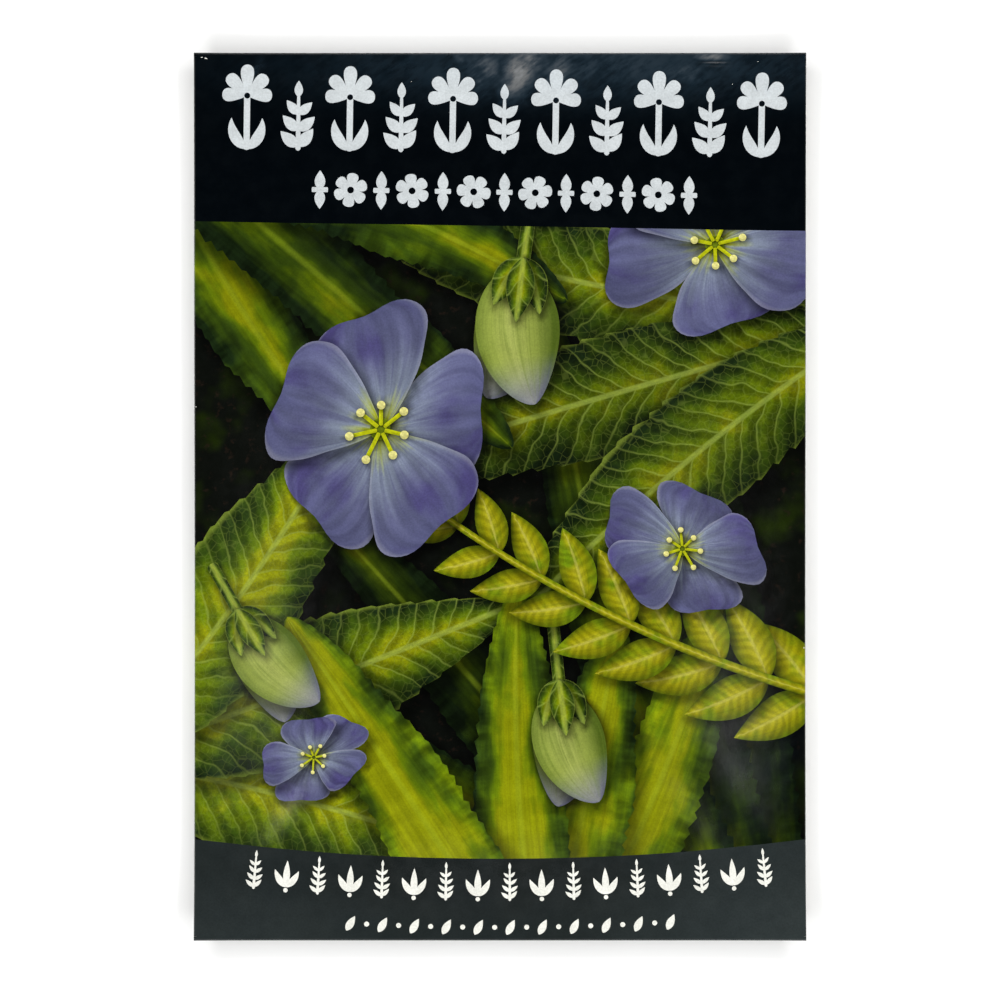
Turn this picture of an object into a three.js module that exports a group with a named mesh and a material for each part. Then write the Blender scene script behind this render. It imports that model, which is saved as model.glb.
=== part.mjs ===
// A sealed paper seed packet lying on its back, with its seeds inside.
//
// The packet is one sheet of coated paper: a front panel, a back panel folded round its left side, a glue
// tab folded in round its right side, and a bottom and a top flap folded over the back. Three films of
// dry glue hold it shut, and a dozen bean seeds lie loose in its lower half and lift the front.
//
// Millimetres, +Z up. +X runs to the reader's right and +Y towards the head of the packet. The origin is
// on the table, under the middle of the packet's outline.

import * as THREE from "three";

// The packet's outline: 3 1/4 in wide, as retail packets are, and tall in the photograph's proportion.
const packetWidth = 82.5;
const packetHeight = 119.6;

// Coated paper, and the distance from the middle of one glued layer to the middle of the next.
const paperThickness = 0.15;
const layerPitch = 0.3;
const glueThickness = 0.05;

// The gap at a folded side, from the middle of the back panel's paper to the middle of the front's.
const sideGap = 0.75;
const foldSteps = 4;

// The flaps and the tab, measured from their fold to their cut edge.
const bottomFlapLength = 14;
const topFlapLength = 19;
const flapShoulder = 0.8;
const flapCornerInset = 7;
const glueTabWidth = 10;
const seamSetback = 0.9;

// Bare paper left between the glue and a fold or a cut edge.
const seamGlueMargin = 1.6;
const flapGlueMargin = 3;

// How the filled packet lies: flat in the middle of its back, with its four edges lifted off the table.
const flatHalfWidth = 22;
const flatLow = -36.5;
const flatHigh = 21;
const sideLift = 1.5;
const bottomLift = 2.4;
const topLift = 1.6;

// How the seeds lift the front: steady slopes up from the folds, and a soft plateau over the seeds.
const seedBulge = 6.6;
const slopeBesideSeeds = 19;
const slopeBesideHead = 34;
const slopeBelowSeeds = 17;
const slopeToHead = 55;
const headFade = 1.5;
const plateauSharpness = 4;
const creaseSoftness = 1.4;
const sidePullIn = 0.35;
const pullInReach = 34;

// The seeds: nearly round, in one loose layer, lying on their flatter sides.
const seedCount = 12;
const seedLength = 7.4;
const seedWidth = 6.8;
const seedThickness = 6.2;
const seedVariation = 0.05;
const seedSquareness = 0.92;
const seedSegments = 16;
const seedRings = 10;
const seedSpacing = 5.1;
const seedGap = 0.06;
const heapMiddle = new THREE.Vector2(1, -18);
const goldenAngle = Math.PI * (3 - Math.sqrt(5));

// How finely the panels are divided.
const panelColumns = 20;
const panelRows = 28;
const flapRows = 4;
const tabColumns = 3;

const halfWidth = packetWidth / 2;
const halfHeight = packetHeight / 2;
const halfPaper = paperThickness / 2;

// Radii of the folds, to the middle of the paper. The tab lies inside the packet and the flaps outside.
const leftRadius = sideGap / 2;
const rightRadius = (sideGap - layerPitch) / 2;
const endRadius = (sideGap + layerPitch) / 2;

// The lines where the front panel ends and its folds begin.
const leftFold = -(halfWidth - halfPaper - leftRadius);
const rightFold = halfWidth - halfPaper - rightRadius;
const lowFold = -(halfHeight - halfPaper - endRadius);
const highFold = halfHeight - halfPaper - endRadius;

const coatedPaper = new THREE.MeshStandardMaterial({ color: 0x14181b, roughness: 0.3, metalness: 0 });
const dryGlue = new THREE.MeshStandardMaterial({ color: 0xe9e2cc, roughness: 0.5, metalness: 0 });
const seedCoat = new THREE.MeshStandardMaterial({ color: 0x7a4a26, roughness: 0.35, metalness: 0 });

function even(from, to, count) {
  return Array.from({ length: count + 1 }, (_, i) => THREE.MathUtils.lerp(from, to, i / count));
}

// Steps that lie closer together towards both ends.
function spread(from, to, count) {
  return even(0, 1, count).map((t) => {
    const eased = (1 - Math.cos(Math.PI * t)) / 2;
    return THREE.MathUtils.lerp(from, to, (t + eased) / 2);
  });
}

// The angles of a fold between its two ends, which belong to the panels.
function foldAngles() {
  return even(-Math.PI / 2, Math.PI / 2, foldSteps).slice(1, -1);
}

// The share of the way past a line, squared, so that a curve leaves the flat without a crease.
function curl(distance, reach) {
  return (Math.max(0, distance) / reach) ** 2;
}

// Height of the back panel's underside over the table.
function backLift(x, y) {
  const side = sideLift * curl(Math.abs(x) - flatHalfWidth, halfWidth - flatHalfWidth);
  const low = bottomLift * curl(flatLow - y, halfHeight + flatLow);
  const high = topLift * curl(y - flatHigh, halfHeight - flatHigh);
  return Math.hypot(side, low + high);
}

// Climbs from 0 at a fold, steadily enough to reach 1 at the given distance, and levels off there.
function climb(distance, reach) {
  const rise = (Math.hypot(Math.max(0, distance), creaseSoftness) - creaseSoftness) / reach;
  return rise / (1 + rise ** plateauSharpness) ** (1 / plateauSharpness);
}

function fullness(x, y) {
  const headward = THREE.MathUtils.smoothstep(y, heapMiddle.y, highFold);
  const reach = THREE.MathUtils.lerp(slopeBesideSeeds, slopeBesideHead, headward);
  const across = climb(x - leftFold, reach) * climb(rightFold - x, reach);
  return across * climb(y - lowFold, slopeBelowSeeds) * climb(highFold - y, slopeToHead) ** headFade;
}

const fullest = fullness(heapMiddle.x, heapMiddle.y);

// Height of the middle of the back panel's paper, and of the front panel's.
function backHeight(x, y) {
  return backLift(x, y) + halfPaper;
}

function frontHeight(x, y) {
  return backHeight(x, y) + sideGap + (seedBulge * fullness(x, y)) / fullest;
}

// The sides draw in a little where the seeds spread the packet.
function drawnIn(x, y) {
  const waist = Math.exp(-(((y - heapMiddle.y) / pullInReach) ** 2));
  return x * (1 - (sidePullIn / halfWidth) * waist);
}

// A point on a side fold, as x and z. An angle of -90 degrees is on the back and +90 on the front.
function onSideFold(foldX, reachX, angle, innerLayer, y) {
  const middle = (backHeight(foldX, y) + innerLayer + frontHeight(foldX, y)) / 2;
  return [foldX + reachX * Math.cos(angle), middle + Math.abs(reachX) * Math.sin(angle)];
}

// A point on an end fold, as y and z. The flap lies one layer outside the back panel.
function onEndFold(foldY, reachY, angle, x) {
  const middle = (backHeight(x, foldY) - layerPitch + frontHeight(x, foldY)) / 2;
  return [foldY + reachY * Math.cos(angle), middle + Math.abs(reachY) * Math.sin(angle)];
}

// The sheet's columns, from the back panel's cut edge round the front to the tab's cut edge. Each gives
// x and z of the middle of the paper at a place y along the packet.
function sheetColumns() {
  const back = spread(rightFold - seamSetback, leftFold, panelColumns).map((x) => ({
    at: (y) => [x, backHeight(x, y)],
  }));
  const leftSide = foldAngles().map((angle) => ({
    at: (y) => onSideFold(leftFold, -leftRadius, angle, 0, y),
  }));
  const front = spread(leftFold, rightFold, panelColumns).map((x) => ({
    frontX: x,
    at: (y) => [x, frontHeight(x, y)],
  }));
  const rightSide = foldAngles().reverse().map((angle) => ({
    at: (y) => onSideFold(rightFold, rightRadius, angle, layerPitch, y),
  }));
  const tab = even(rightFold, halfWidth - glueTabWidth, tabColumns).map((x) => ({
    at: (y) => [x, backHeight(x, y) + layerPitch],
  }));
  return [...back, ...leftSide, ...front, ...rightSide, ...tab];
}

// A flap's width as a share of the front panel's, at a share of its length from the fold.
function flapTaper(along) {
  return 1 - THREE.MathUtils.lerp(flapShoulder, flapCornerInset, along) / halfWidth;
}

// The rows of a flap, from its cut edge to the last step of its fold. Each gives y and z of the middle
// of the paper at a place x across the packet. The direction is -1 for the bottom flap and 1 for the top.
function flapSheetRows(foldY, direction, length) {
  const flap = even(1, 0, flapRows).map((along) => ({
    along,
    at: (x) => {
      const y = foldY - direction * along * length;
      return [y, backHeight(x, y) - layerPitch];
    },
  }));
  const fold = foldAngles().map((angle) => ({
    along: 0,
    at: (x) => onEndFold(foldY, direction * endRadius, angle, x),
  }));
  return [...flap, ...fold];
}

// The middle of the paper as a grid of points, with gaps where the flaps stand clear of the side panels.
function sheetGrid() {
  const columns = sheetColumns();
  const onPanel = (y) => {
    return columns.map((column) => {
      const [x, z] = column.at(y);
      return new THREE.Vector3(drawnIn(x, y), y, z);
    });
  };
  const onFlap = (row) => {
    return columns.map((column) => {
      if (column.frontX === undefined) {
        return null;
      }
      const x = column.frontX * flapTaper(row.along);
      const [y, z] = row.at(x);
      return new THREE.Vector3(drawnIn(x, y), y, z);
    });
  };
  return [
    ...flapSheetRows(lowFold, -1, bottomFlapLength).map(onFlap),
    ...spread(lowFold, highFold, panelRows).map(onPanel),
    ...flapSheetRows(highFold, 1, topFlapLength).reverse().map(onFlap),
  ];
}

// The cells of a grid whose four corners are all there, each as its corners' places in the grid.
function wholeCells(grid) {
  const columns = grid[0].length;
  const points = grid.flat();
  return points
    .map((_, i) => [i, i + 1, i + 1 + columns, i + columns])
    .filter((cell) => (cell[0] + 1) % columns !== 0 && cell.every((i) => points[i]));
}

// The directions that the paper faces at the corners of the cells.
function cornerNormals(points, cells) {
  const normals = new Map();
  for (const cell of cells) {
    const [a, b, c, d] = cell.map((i) => points[i]);
    const facing = new THREE.Vector3().crossVectors(c.clone().sub(a), d.clone().sub(b)).normalize();
    for (const i of cell) {
      normals.set(i, (normals.get(i) ?? new THREE.Vector3()).add(facing));
    }
  }
  normals.forEach((normal) => normal.normalize());
  return normals;
}

// The edges of the cells that only one cell has: the sheet's cut edge.
function cutEdges(cells) {
  const edges = new Map();
  for (const cell of cells) {
    cell.forEach((from, i) => {
      const to = cell[(i + 1) % cell.length];
      if (!edges.delete(`${to} ${from}`)) {
        edges.set(`${from} ${to}`, [from, to]);
      }
    });
  }
  return [...edges.values()];
}

// A closed sheet of even thickness round a grid of points on its middle.
function sheetSolid(grid, thickness) {
  const points = grid.flat();
  const cells = wholeCells(grid);
  const positions = [];
  const outer = new Map();
  cornerNormals(points, cells).forEach((normal, i) => {
    outer.set(i, positions.length / 3);
    positions.push(...points[i].clone().addScaledVector(normal, thickness / 2).toArray());
    positions.push(...points[i].clone().addScaledVector(normal, -thickness / 2).toArray());
  });

  const triangles = [];
  for (const cell of cells) {
    const [a, b, c, d] = cell.map((i) => outer.get(i));
    triangles.push(a, b, c, a, c, d);
    triangles.push(a + 1, c + 1, b + 1, a + 1, d + 1, c + 1);
  }
  for (const [from, to] of cutEdges(cells)) {
    const a = outer.get(from);
    const b = outer.get(to);
    triangles.push(a, a + 1, b, b, a + 1, b + 1);
  }

  const geometry = new THREE.BufferGeometry();
  geometry.setAttribute("position", new THREE.Float32BufferAttribute(positions, 3));
  geometry.setIndex(triangles);
  return geometry;
}

// A film of glue, over a patch that tapers as the flap over it does.
function glueFilm(xs, ys, heightAt, taper = () => 1) {
  const grid = ys.map((y) =>
    xs.map((wide) => {
      const x = wide * taper(y);
      return new THREE.Vector3(drawnIn(x, y), y, heightAt(x, y));
    }),
  );
  return sheetSolid(grid, glueThickness);
}

// The seam's glue lies between the tab and the back panel.
function seamGlue() {
  const xs = even(halfWidth - glueTabWidth + seamGlueMargin, rightFold - seamGlueMargin, tabColumns);
  const ys = even(lowFold + seamGlueMargin, highFold - seamGlueMargin, 2 * panelRows);
  return glueFilm(xs, ys, (x, y) => backHeight(x, y) + layerPitch / 2);
}

// A flap's glue lies between the back panel and the flap.
function flapGlue(foldY, direction, length) {
  const reach = rightFold - flapGlueMargin;
  const xs = even(-reach, reach, panelColumns);
  const near = foldY - direction * flapGlueMargin;
  const far = foldY - direction * (length - flapGlueMargin / 2);
  const ys = even(Math.min(near, far), Math.max(near, far), 2 * flapRows);
  const heightAt = (x, y) => backHeight(x, y) - layerPitch / 2;
  return glueFilm(xs, ys, heightAt, (y) => flapTaper(Math.abs(y - foldY) / length));
}

// A repeatable draw between -1 and 1, from a whole number.
function draw(index) {
  const wave = Math.sin(index * 12.9898 + 4.1414) * 43758.5453;
  return 2 * (wave - Math.floor(wave)) - 1;
}

// A bean seed: an egg-round body, slightly squared and flattened, with its axis upright.
function seedGeometry(index) {
  const size = 1 + seedVariation * draw(index);
  const seed = new THREE.SphereGeometry(1, seedSegments, seedRings);
  seed.rotateX(Math.PI / 2);
  const corners = seed.getAttribute("position");
  for (let i = 0; i < corners.count; i++) {
    const corner = new THREE.Vector3().fromBufferAttribute(corners, i).toArray();
    const [x, y, z] = corner.map((value) => Math.sign(value) * Math.abs(value) ** seedSquareness);
    corners.setXYZ(i, x, y, z);
  }
  seed.scale((size * seedLength) / 2, (size * seedWidth) / 2, (size * seedThickness) / 2);
  return seed;
}

// The seeds settle round the middle of the heap, each a golden angle on from the last and further out.
function addSeed(group, index) {
  const seed = named(`seed_${String(index + 1).padStart(2, "0")}`, seedGeometry(index), seedCoat);
  seed.geometry.computeBoundingBox();
  const away = new THREE.Vector2(seedSpacing * Math.sqrt(index + 0.5), 0);
  const place = away.rotateAround(new THREE.Vector2(), index * goldenAngle).add(heapMiddle);
  seed.position.set(place.x, place.y, paperThickness + seedGap - seed.geometry.boundingBox.min.z);
  seed.rotation.z = Math.PI * draw(index + seedCount);
  group.add(seed);
}

function named(name, geometry, material) {
  const mesh = new THREE.Mesh(geometry, material);
  mesh.name = name;
  return mesh;
}

const packet = new THREE.Group();
packet.add(named("paper_sheet", sheetSolid(sheetGrid(), paperThickness), coatedPaper));

const glue = new THREE.Group();
glue.add(named("side_seam_glue", seamGlue(), dryGlue));
glue.add(named("bottom_flap_glue", flapGlue(lowFold, -1, bottomFlapLength), dryGlue));
glue.add(named("top_flap_glue", flapGlue(highFold, 1, topFlapLength), dryGlue));
packet.add(glue);

const seeds = new THREE.Group();
for (let index = 0; index < seedCount; index++) {
  addSeed(seeds, index);
}
packet.add(seeds);

export default packet;
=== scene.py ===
"""The finish of a sealed paper seed packet: its folded sheet, its print, its glue and its seeds.

The sheet is modelled as it is made. A flat blank is cut out and printed, and every point of it is then
carried to where the folded, filled packet has it. Places on the blank are given in millimetres, as
across and along: on the front panel these are the same as X and Y of the packet. Blender's own units
are metres.
"""

import math

import bpy
import numpy as np
from bpy.props import FloatProperty, FloatVectorProperty, IntProperty, PointerProperty
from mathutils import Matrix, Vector
from mathutils.geometry import delaunay_2d_cdt
from mathutils.kdtree import KDTree


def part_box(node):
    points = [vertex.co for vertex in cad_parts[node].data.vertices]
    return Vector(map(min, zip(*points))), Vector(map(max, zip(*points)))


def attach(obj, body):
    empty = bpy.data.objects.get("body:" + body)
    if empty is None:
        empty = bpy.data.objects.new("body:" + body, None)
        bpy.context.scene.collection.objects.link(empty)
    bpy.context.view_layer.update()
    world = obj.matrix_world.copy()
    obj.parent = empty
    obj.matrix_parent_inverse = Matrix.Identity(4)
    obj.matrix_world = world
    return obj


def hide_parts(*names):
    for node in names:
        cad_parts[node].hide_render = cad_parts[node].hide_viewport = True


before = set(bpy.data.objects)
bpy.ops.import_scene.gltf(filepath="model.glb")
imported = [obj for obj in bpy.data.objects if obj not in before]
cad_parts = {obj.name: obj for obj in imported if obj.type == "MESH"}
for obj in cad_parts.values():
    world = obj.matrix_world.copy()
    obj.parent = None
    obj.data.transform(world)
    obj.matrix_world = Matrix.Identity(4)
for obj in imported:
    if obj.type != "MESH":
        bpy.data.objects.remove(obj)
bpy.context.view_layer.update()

bl_info = {
    "name": "Seed packet",
    "version": (1, 0, 0),
    "blender": (4, 5, 0),
    "location": "View3D > Sidebar > Seed packet",
    "description": "Folds, prints and lights a sealed paper seed packet",
    "category": "Add Mesh",
}

MM = 0.001
MM_IN_A_CM = 10
BODY = "root"

# The photograph's frame, in its own pixels, and where the packet's outline stands in it.
IMAGE_SIZE = 1000
OUTLINE_LEFT = 194
OUTLINE_RIGHT = 806
OUTLINE_TOP = 53
OUTLINE_BOTTOM = 940


def shown(red, green, blue):
    """A colour as a screen shows it, 0 to 255 a channel, in the linear values that Blender takes."""
    shares = [channel / 255 for channel in (red, green, blue)]
    return tuple(s / 12.92 if s <= 0.04045 else ((s + 0.055) / 1.055) ** 2.4 for s in shares)


def length_setting(name, description, default_mm):
    """A length that the user may change. Its default is given in millimetres."""
    return FloatProperty(name=name, description=description, default=default_mm * MM, min=0, unit="LENGTH",
                         precision=5)


def colour_setting(name, description, *display):
    """A colour that the user may change. Its default is given as a screen shows it."""
    return FloatVectorProperty(name=name, description=description, default=shown(*display), size=3, min=0,
                               max=1, subtype="COLOR")


class PacketSizes(bpy.types.PropertyGroup):
    """Sizes of the folded sheet"""

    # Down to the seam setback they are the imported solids' own, but for the shoulder, nearly flush here.
    paper: length_setting("Paper", "Thickness of the coated paper", 0.15)
    layer_pitch: length_setting("Layer pitch", "From one glued layer's middle to the next", 0.3)
    side_gap: length_setting("Side gap", "From the back's paper to the front's at a folded side", 0.75)
    bottom_flap: length_setting("Bottom flap", "From the bottom fold to the flap's cut edge", 14)
    top_flap: length_setting("Top flap", "From the top fold to the flap's cut edge", 19)
    flap_shoulder: length_setting("Flap shoulder", "How far a flap stands in from the side fold", 0.05)
    flap_inset: length_setting("Flap inset", "How far a flap stands in from the side at its cut edge", 7)
    glue_tab: length_setting("Glue tab", "Width of the tab under the back panel", 10)
    seam_setback: length_setting("Seam setback", "From the right fold to the back panel's cut edge", 0.9)
    seed_bulge: length_setting("Seed bulge", "How far the seeds lift the front", 6.6)
    seed_lumps: length_setting("Seed lumps", "How far single seeds show through the front", 0.22)
    mesh_step: length_setting("Mesh step", "Distance between the points of the front panel", 0.95)


class PrintColours(bpy.types.PropertyGroup):
    """Inks of the print, and the paper under them"""

    header: colour_setting("Header", "Ink of the band across the head", 0, 4, 8)
    footer: colour_setting("Footer", "Ink of the arched band across the foot", 23, 28, 27)
    ground: colour_setting("Ground", "Darkness behind the leaves", 9, 12, 8)
    leaf_light: colour_setting("Leaf light", "Leaf along its rib", 138, 144, 8)
    leaf_middle: colour_setting("Leaf middle", "Leaf between rib and margin", 60, 82, 12)
    leaf_deep: colour_setting("Leaf deep", "Leaf at its margin", 24, 40, 15)
    sprig: colour_setting("Sprig", "Young sprig", 154, 150, 12)
    petal: colour_setting("Petal", "Middle of a petal", 97, 100, 133)
    petal_deep: colour_setting("Petal deep", "Deepest violet of a petal", 72, 64, 118)
    petal_pale: colour_setting("Petal pale", "Petal near the eye", 130, 140, 158)
    eye: colour_setting("Eye", "Eye of a blossom", 190, 196, 20)
    bud: colour_setting("Bud", "Unopened bud", 150, 164, 72)
    pale_ink: colour_setting("Pale ink", "Ornament of the header", 214, 220, 222)
    cream_ink: colour_setting("Cream ink", "Ornament of the footer", 250, 250, 240)
    back: colour_setting("Back", "Printed tint of the back panel", 238, 234, 214)
    back_ink: colour_setting("Back ink", "Rules and ornament of the back panel", 52, 84, 46)
    paper: colour_setting("Bare paper", "Uncoated side and torn fibres of the paper", 226, 224, 216)


class StudioSettings(bpy.types.PropertyGroup):
    """Camera, lamps, table and the fineness of the seeds"""

    camera_height: FloatProperty(name="Camera height", description="From the packet's outline to the camera",
                                 default=0.7, min=0.2, unit="LENGTH")
    key_power: FloatProperty(name="Key power", description="Power of the lamp beyond the packet's foot",
                             default=25.8, min=0, unit="POWER")
    fill_power: FloatProperty(name="Fill power", description="Power of each lamp at the sides and the head",
                              default=18.6, min=0, unit="POWER")
    table: colour_setting("Table", "Table that the packet lies on", 252, 252, 251)
    seed_segments: IntProperty(name="Seed segments", description="Faces round a seed", default=40, min=8)


# The folded packet.

FRONT, BACK, TAB, LEFT_FOLD, RIGHT_FOLD, LOW_FOLD, HIGH_FOLD, LOW_FLAP, HIGH_FLAP = range(9)
END_REGIONS = (LOW_FOLD, HIGH_FOLD, LOW_FLAP, HIGH_FLAP)
FOLD_STEPS = 10
FOLD_SQUARENESS = 6
NUDGE = 0.02

# How the filled packet lies, and how its front climbs from the folds, in millimetres.
FLAT_HALF_WIDTH = 22
FLAT_LOW = -36.5
FLAT_HIGH = 21
SIDE_LIFT = 1.5
BOTTOM_LIFT = 2.4
TOP_LIFT = 1.6
SLOPE_BESIDE_SEEDS = 19
SLOPE_BESIDE_HEAD = 34
SLOPE_BELOW_SEEDS = 17
SLOPE_TO_HEAD = 55
HEAD_FADE = 1.5
PLATEAU_SHARPNESS = 4
CREASE_SOFTNESS = 1.4
SIDE_PULL_IN = 0.08
PULL_IN_REACH = 34
HEAP_MIDDLE = (1, -18)

# How single seeds show through the front, and how near the folds all such relief fades, in millimetres.
SEED_LUMP_RADIUS = 3.4
SEED_SHOWS_FROM = 5.4
RELIEF_FADE = 1.6

# Soft creases and dents of handling: x, y, heading in degrees, half length, half width and depth, in mm.
CREASES = [
    (-30, -44, 52, 16, 3.0, 0.16),
    (31, -43, 126, 15, 3.2, 0.18),
    (-35, -8, 8, 9, 2.2, 0.1),
    (-36, -22, -6, 8, 2.0, 0.12),
    (36, -17, 176, 9, 2.3, 0.12),
    (35, -30, 190, 8, 2.0, 0.1),
    (34, 2, 168, 10, 2.6, 0.1),
    (-26, 34, -40, 15, 3.4, 0.14),
    (27, 30, 218, 16, 3.6, 0.14),
    (2, 54.5, 12, 7, 4.2, 0.12),
    (29, 58.55, 0, 2.2, 0.36, 0.2),
    (34, 56, 60, 3, 1.4, 0.06),
    (-38, 56.5, 120, 2.6, 1.0, 0.06),
]

# A crease narrower than this, in half its width, needs points of its own.
FINE_CREASE = 1

# How the end folds' corners are pressed out flush with the folded sides, in millimetres.
CORNER_REACH = 1.6
CORNER_RUN = 0.004
CORNER_RETURN = 3
CORNER_MARGIN = 0.01


def curl(distance, reach):
    """Rises from 0, ever more steeply, and is 1 at the given distance."""
    return (np.maximum(0, distance) / reach) ** 2


def climb(distance, reach):
    """Climbs from 0 at a fold, steadily enough to reach 1 at the given distance, and levels off there."""
    rise = (np.hypot(np.maximum(0, distance), CREASE_SOFTNESS) - CREASE_SOFTNESS) / reach
    return rise / (1 + rise**PLATEAU_SHARPNESS) ** (1 / PLATEAU_SHARPNESS)


def smooth(value):
    """A share from 0 to 1 that sets out and arrives gently."""
    share = np.clip(value, 0, 1)
    return share * share * (3 - 2 * share)


def pressed(angle):
    """How far out and up a fold's paper lies at an angle, for a fold of radius 1 pressed nearly square."""
    out, up = np.sin(angle), np.cos(angle)
    reach = (np.abs(out) ** FOLD_SQUARENESS + np.abs(up) ** FOLD_SQUARENESS) ** (-1 / FOLD_SQUARENESS)
    return out * reach, up * reach


class FoldedPacket:
    """Where the middle of the paper lies, for any place on the flat blank. All in millimetres."""

    def __init__(self, sizes):
        low, high = (Vector(corner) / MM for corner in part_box("paper_sheet"))
        self.half_width = (high.x - low.x) / 2
        self.half_height = (high.y - low.y) / 2
        self.paper = sizes.paper / MM
        self.pitch = sizes.layer_pitch / MM
        self.gap = sizes.side_gap / MM
        self.bulge = sizes.seed_bulge / MM
        self.lumps = sizes.seed_lumps / MM
        self.shoulder = sizes.flap_shoulder / MM
        self.inset = sizes.flap_inset / MM

        half_paper = self.paper / 2
        self.left_radius = self.gap / 2
        self.right_radius = (self.gap - self.pitch) / 2
        self.end_radius = (self.gap + self.pitch) / 2
        self.left_fold = -(self.half_width - half_paper - self.left_radius)
        self.right_fold = self.half_width - half_paper - self.right_radius
        self.low_fold = -(self.half_height - half_paper - self.end_radius)
        self.high_fold = self.half_height - half_paper - self.end_radius

        self.left_end = self.left_fold - math.pi * self.left_radius
        self.right_end = self.right_fold + math.pi * self.right_radius
        self.low_end = self.low_fold - math.pi * self.end_radius
        self.high_end = self.high_fold + math.pi * self.end_radius
        self.back_edge = self.left_end - (self.right_fold - sizes.seam_setback / MM - self.left_fold)
        self.tab_edge = self.right_end + self.right_fold - (self.half_width - sizes.glue_tab / MM)
        self.low_tip = self.low_end - sizes.bottom_flap / MM
        self.high_tip = self.high_end + sizes.top_flap / MM
        self.seeds = [self.seed_under(name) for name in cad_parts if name.startswith("seed")]
        self.fullest = float(self.fullness(*HEAP_MIDDLE))

    def seed_under(self, node):
        """The middle of a seed, and the height of its top."""
        low, high = (Vector(corner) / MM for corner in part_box(node))
        return (low.x + high.x) / 2, (low.y + high.y) / 2, high.z

    def back_lift(self, x, y):
        """How far the back curls up off the table, towards the packet's sides and ends."""
        side = SIDE_LIFT * curl(np.abs(x) - FLAT_HALF_WIDTH, self.half_width - FLAT_HALF_WIDTH)
        low = BOTTOM_LIFT * curl(FLAT_LOW - y, self.half_height + FLAT_LOW)
        high = TOP_LIFT * curl(y - FLAT_HIGH, self.half_height - FLAT_HIGH)
        return np.hypot(side, low + high)

    def fullness(self, x, y):
        """How full the packet stands, as a share: most over the heap of seeds, and none at the folds."""
        headward = smooth((y - HEAP_MIDDLE[1]) / (self.high_fold - HEAP_MIDDLE[1]))
        reach = SLOPE_BESIDE_SEEDS + (SLOPE_BESIDE_HEAD - SLOPE_BESIDE_SEEDS) * headward
        across = climb(x - self.left_fold, reach) * climb(self.right_fold - x, reach)
        from_foot = climb(y - self.low_fold, SLOPE_BELOW_SEEDS)
        from_head = climb(self.high_fold - y, SLOPE_TO_HEAD) ** HEAD_FADE
        return across * (from_foot * from_head)

    def handling(self, x, y):
        """Seeds that show through the front, and the soft creases of handling, faded out at the folds."""
        relief = np.zeros(np.broadcast(x, y).shape)
        for seed_x, seed_y, top in self.seeds:
            away = ((x - seed_x) ** 2 + (y - seed_y) ** 2) / SEED_LUMP_RADIUS**2
            relief = relief + self.lumps * (top - SEED_SHOWS_FROM) * np.exp(-away)
        for crease_x, crease_y, heading, half_length, half_width, depth in CREASES:
            turn = math.radians(heading)
            along = (x - crease_x) * math.cos(turn) + (y - crease_y) * math.sin(turn)
            across = ((y - crease_y) * math.cos(turn) - (x - crease_x) * math.sin(turn)) / half_width
            trough = np.exp(-((along / half_length) ** 2)) * across * np.exp(-(across**2))
            relief = relief - 2 * depth * trough
        from_side = np.minimum(x - self.left_fold, self.right_fold - x)
        from_end = np.minimum(y - self.low_fold, self.high_fold - y)
        return relief * smooth(np.minimum(from_side, from_end) / RELIEF_FADE)

    def back_height(self, x, y):
        return self.back_lift(x, y) + self.paper / 2

    def front_height(self, x, y):
        lifted = self.bulge * self.fullness(x, y) / self.fullest
        return self.back_height(x, y) + self.gap + lifted + self.handling(x, y)

    def pressed_out(self, s, t):
        """How far the corners of the end folds are pressed out, to lie flush with the folded sides."""
        past = np.maximum(t - self.high_fold, self.low_fold - t)
        corner = np.where(s < 0, -self.left_fold, self.right_fold) - self.shoulder
        near = smooth(1 - (corner - np.abs(s)) / CORNER_REACH)
        back = smooth(1 - (past - math.pi * self.end_radius) / CORNER_RETURN)
        room = self.half_width - CORNER_MARGIN - corner
        return np.sign(s) * room * near * smooth(past / CORNER_RUN) * back

    def drawn_in(self, x, y):
        """Places across, drawn in beside the heap of seeds, where the fullness takes up paper."""
        waist = np.exp(-(((y - HEAP_MIDDLE[1]) / PULL_IN_REACH) ** 2))
        return x * (1 - SIDE_PULL_IN / self.half_width * waist)

    def regions(self, s, t):
        """Which stretch of the blank each place lies on."""
        beside = (s < self.left_fold) | (s > self.right_fold)
        tests = [
            (beside & (s <= self.left_end), BACK),
            (beside & (s >= self.right_end), TAB),
            (beside & (s < 0), LEFT_FOLD),
            (beside, RIGHT_FOLD),
            (t <= self.low_end, LOW_FLAP),
            (t >= self.high_end, HIGH_FLAP),
            (t < self.low_fold, LOW_FOLD),
            (t > self.high_fold, HIGH_FOLD),
        ]
        return np.select([test for test, _ in tests], [region for _, region in tests], FRONT)

    def on_side_fold(self, fold, radius, inner, angle, t):
        """Across and up on a side fold, whose inner layer lies at a given height over the back's own."""
        edge = np.full_like(t, fold)
        middle = (self.back_height(edge, t) + inner + self.front_height(edge, t)) / 2
        out, up = pressed(angle)
        return fold + math.copysign(1, fold) * radius * out, middle + radius * up

    def on_end_fold(self, fold, angle, s):
        """Along and up on an end fold, round a middle between the front and the flap."""
        edge = np.full_like(s, fold)
        middle = (self.back_height(s, edge) - self.pitch + self.front_height(s, edge)) / 2
        out, up = pressed(angle)
        return fold + math.copysign(1, fold) * self.end_radius * out, middle + self.end_radius * up

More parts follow.
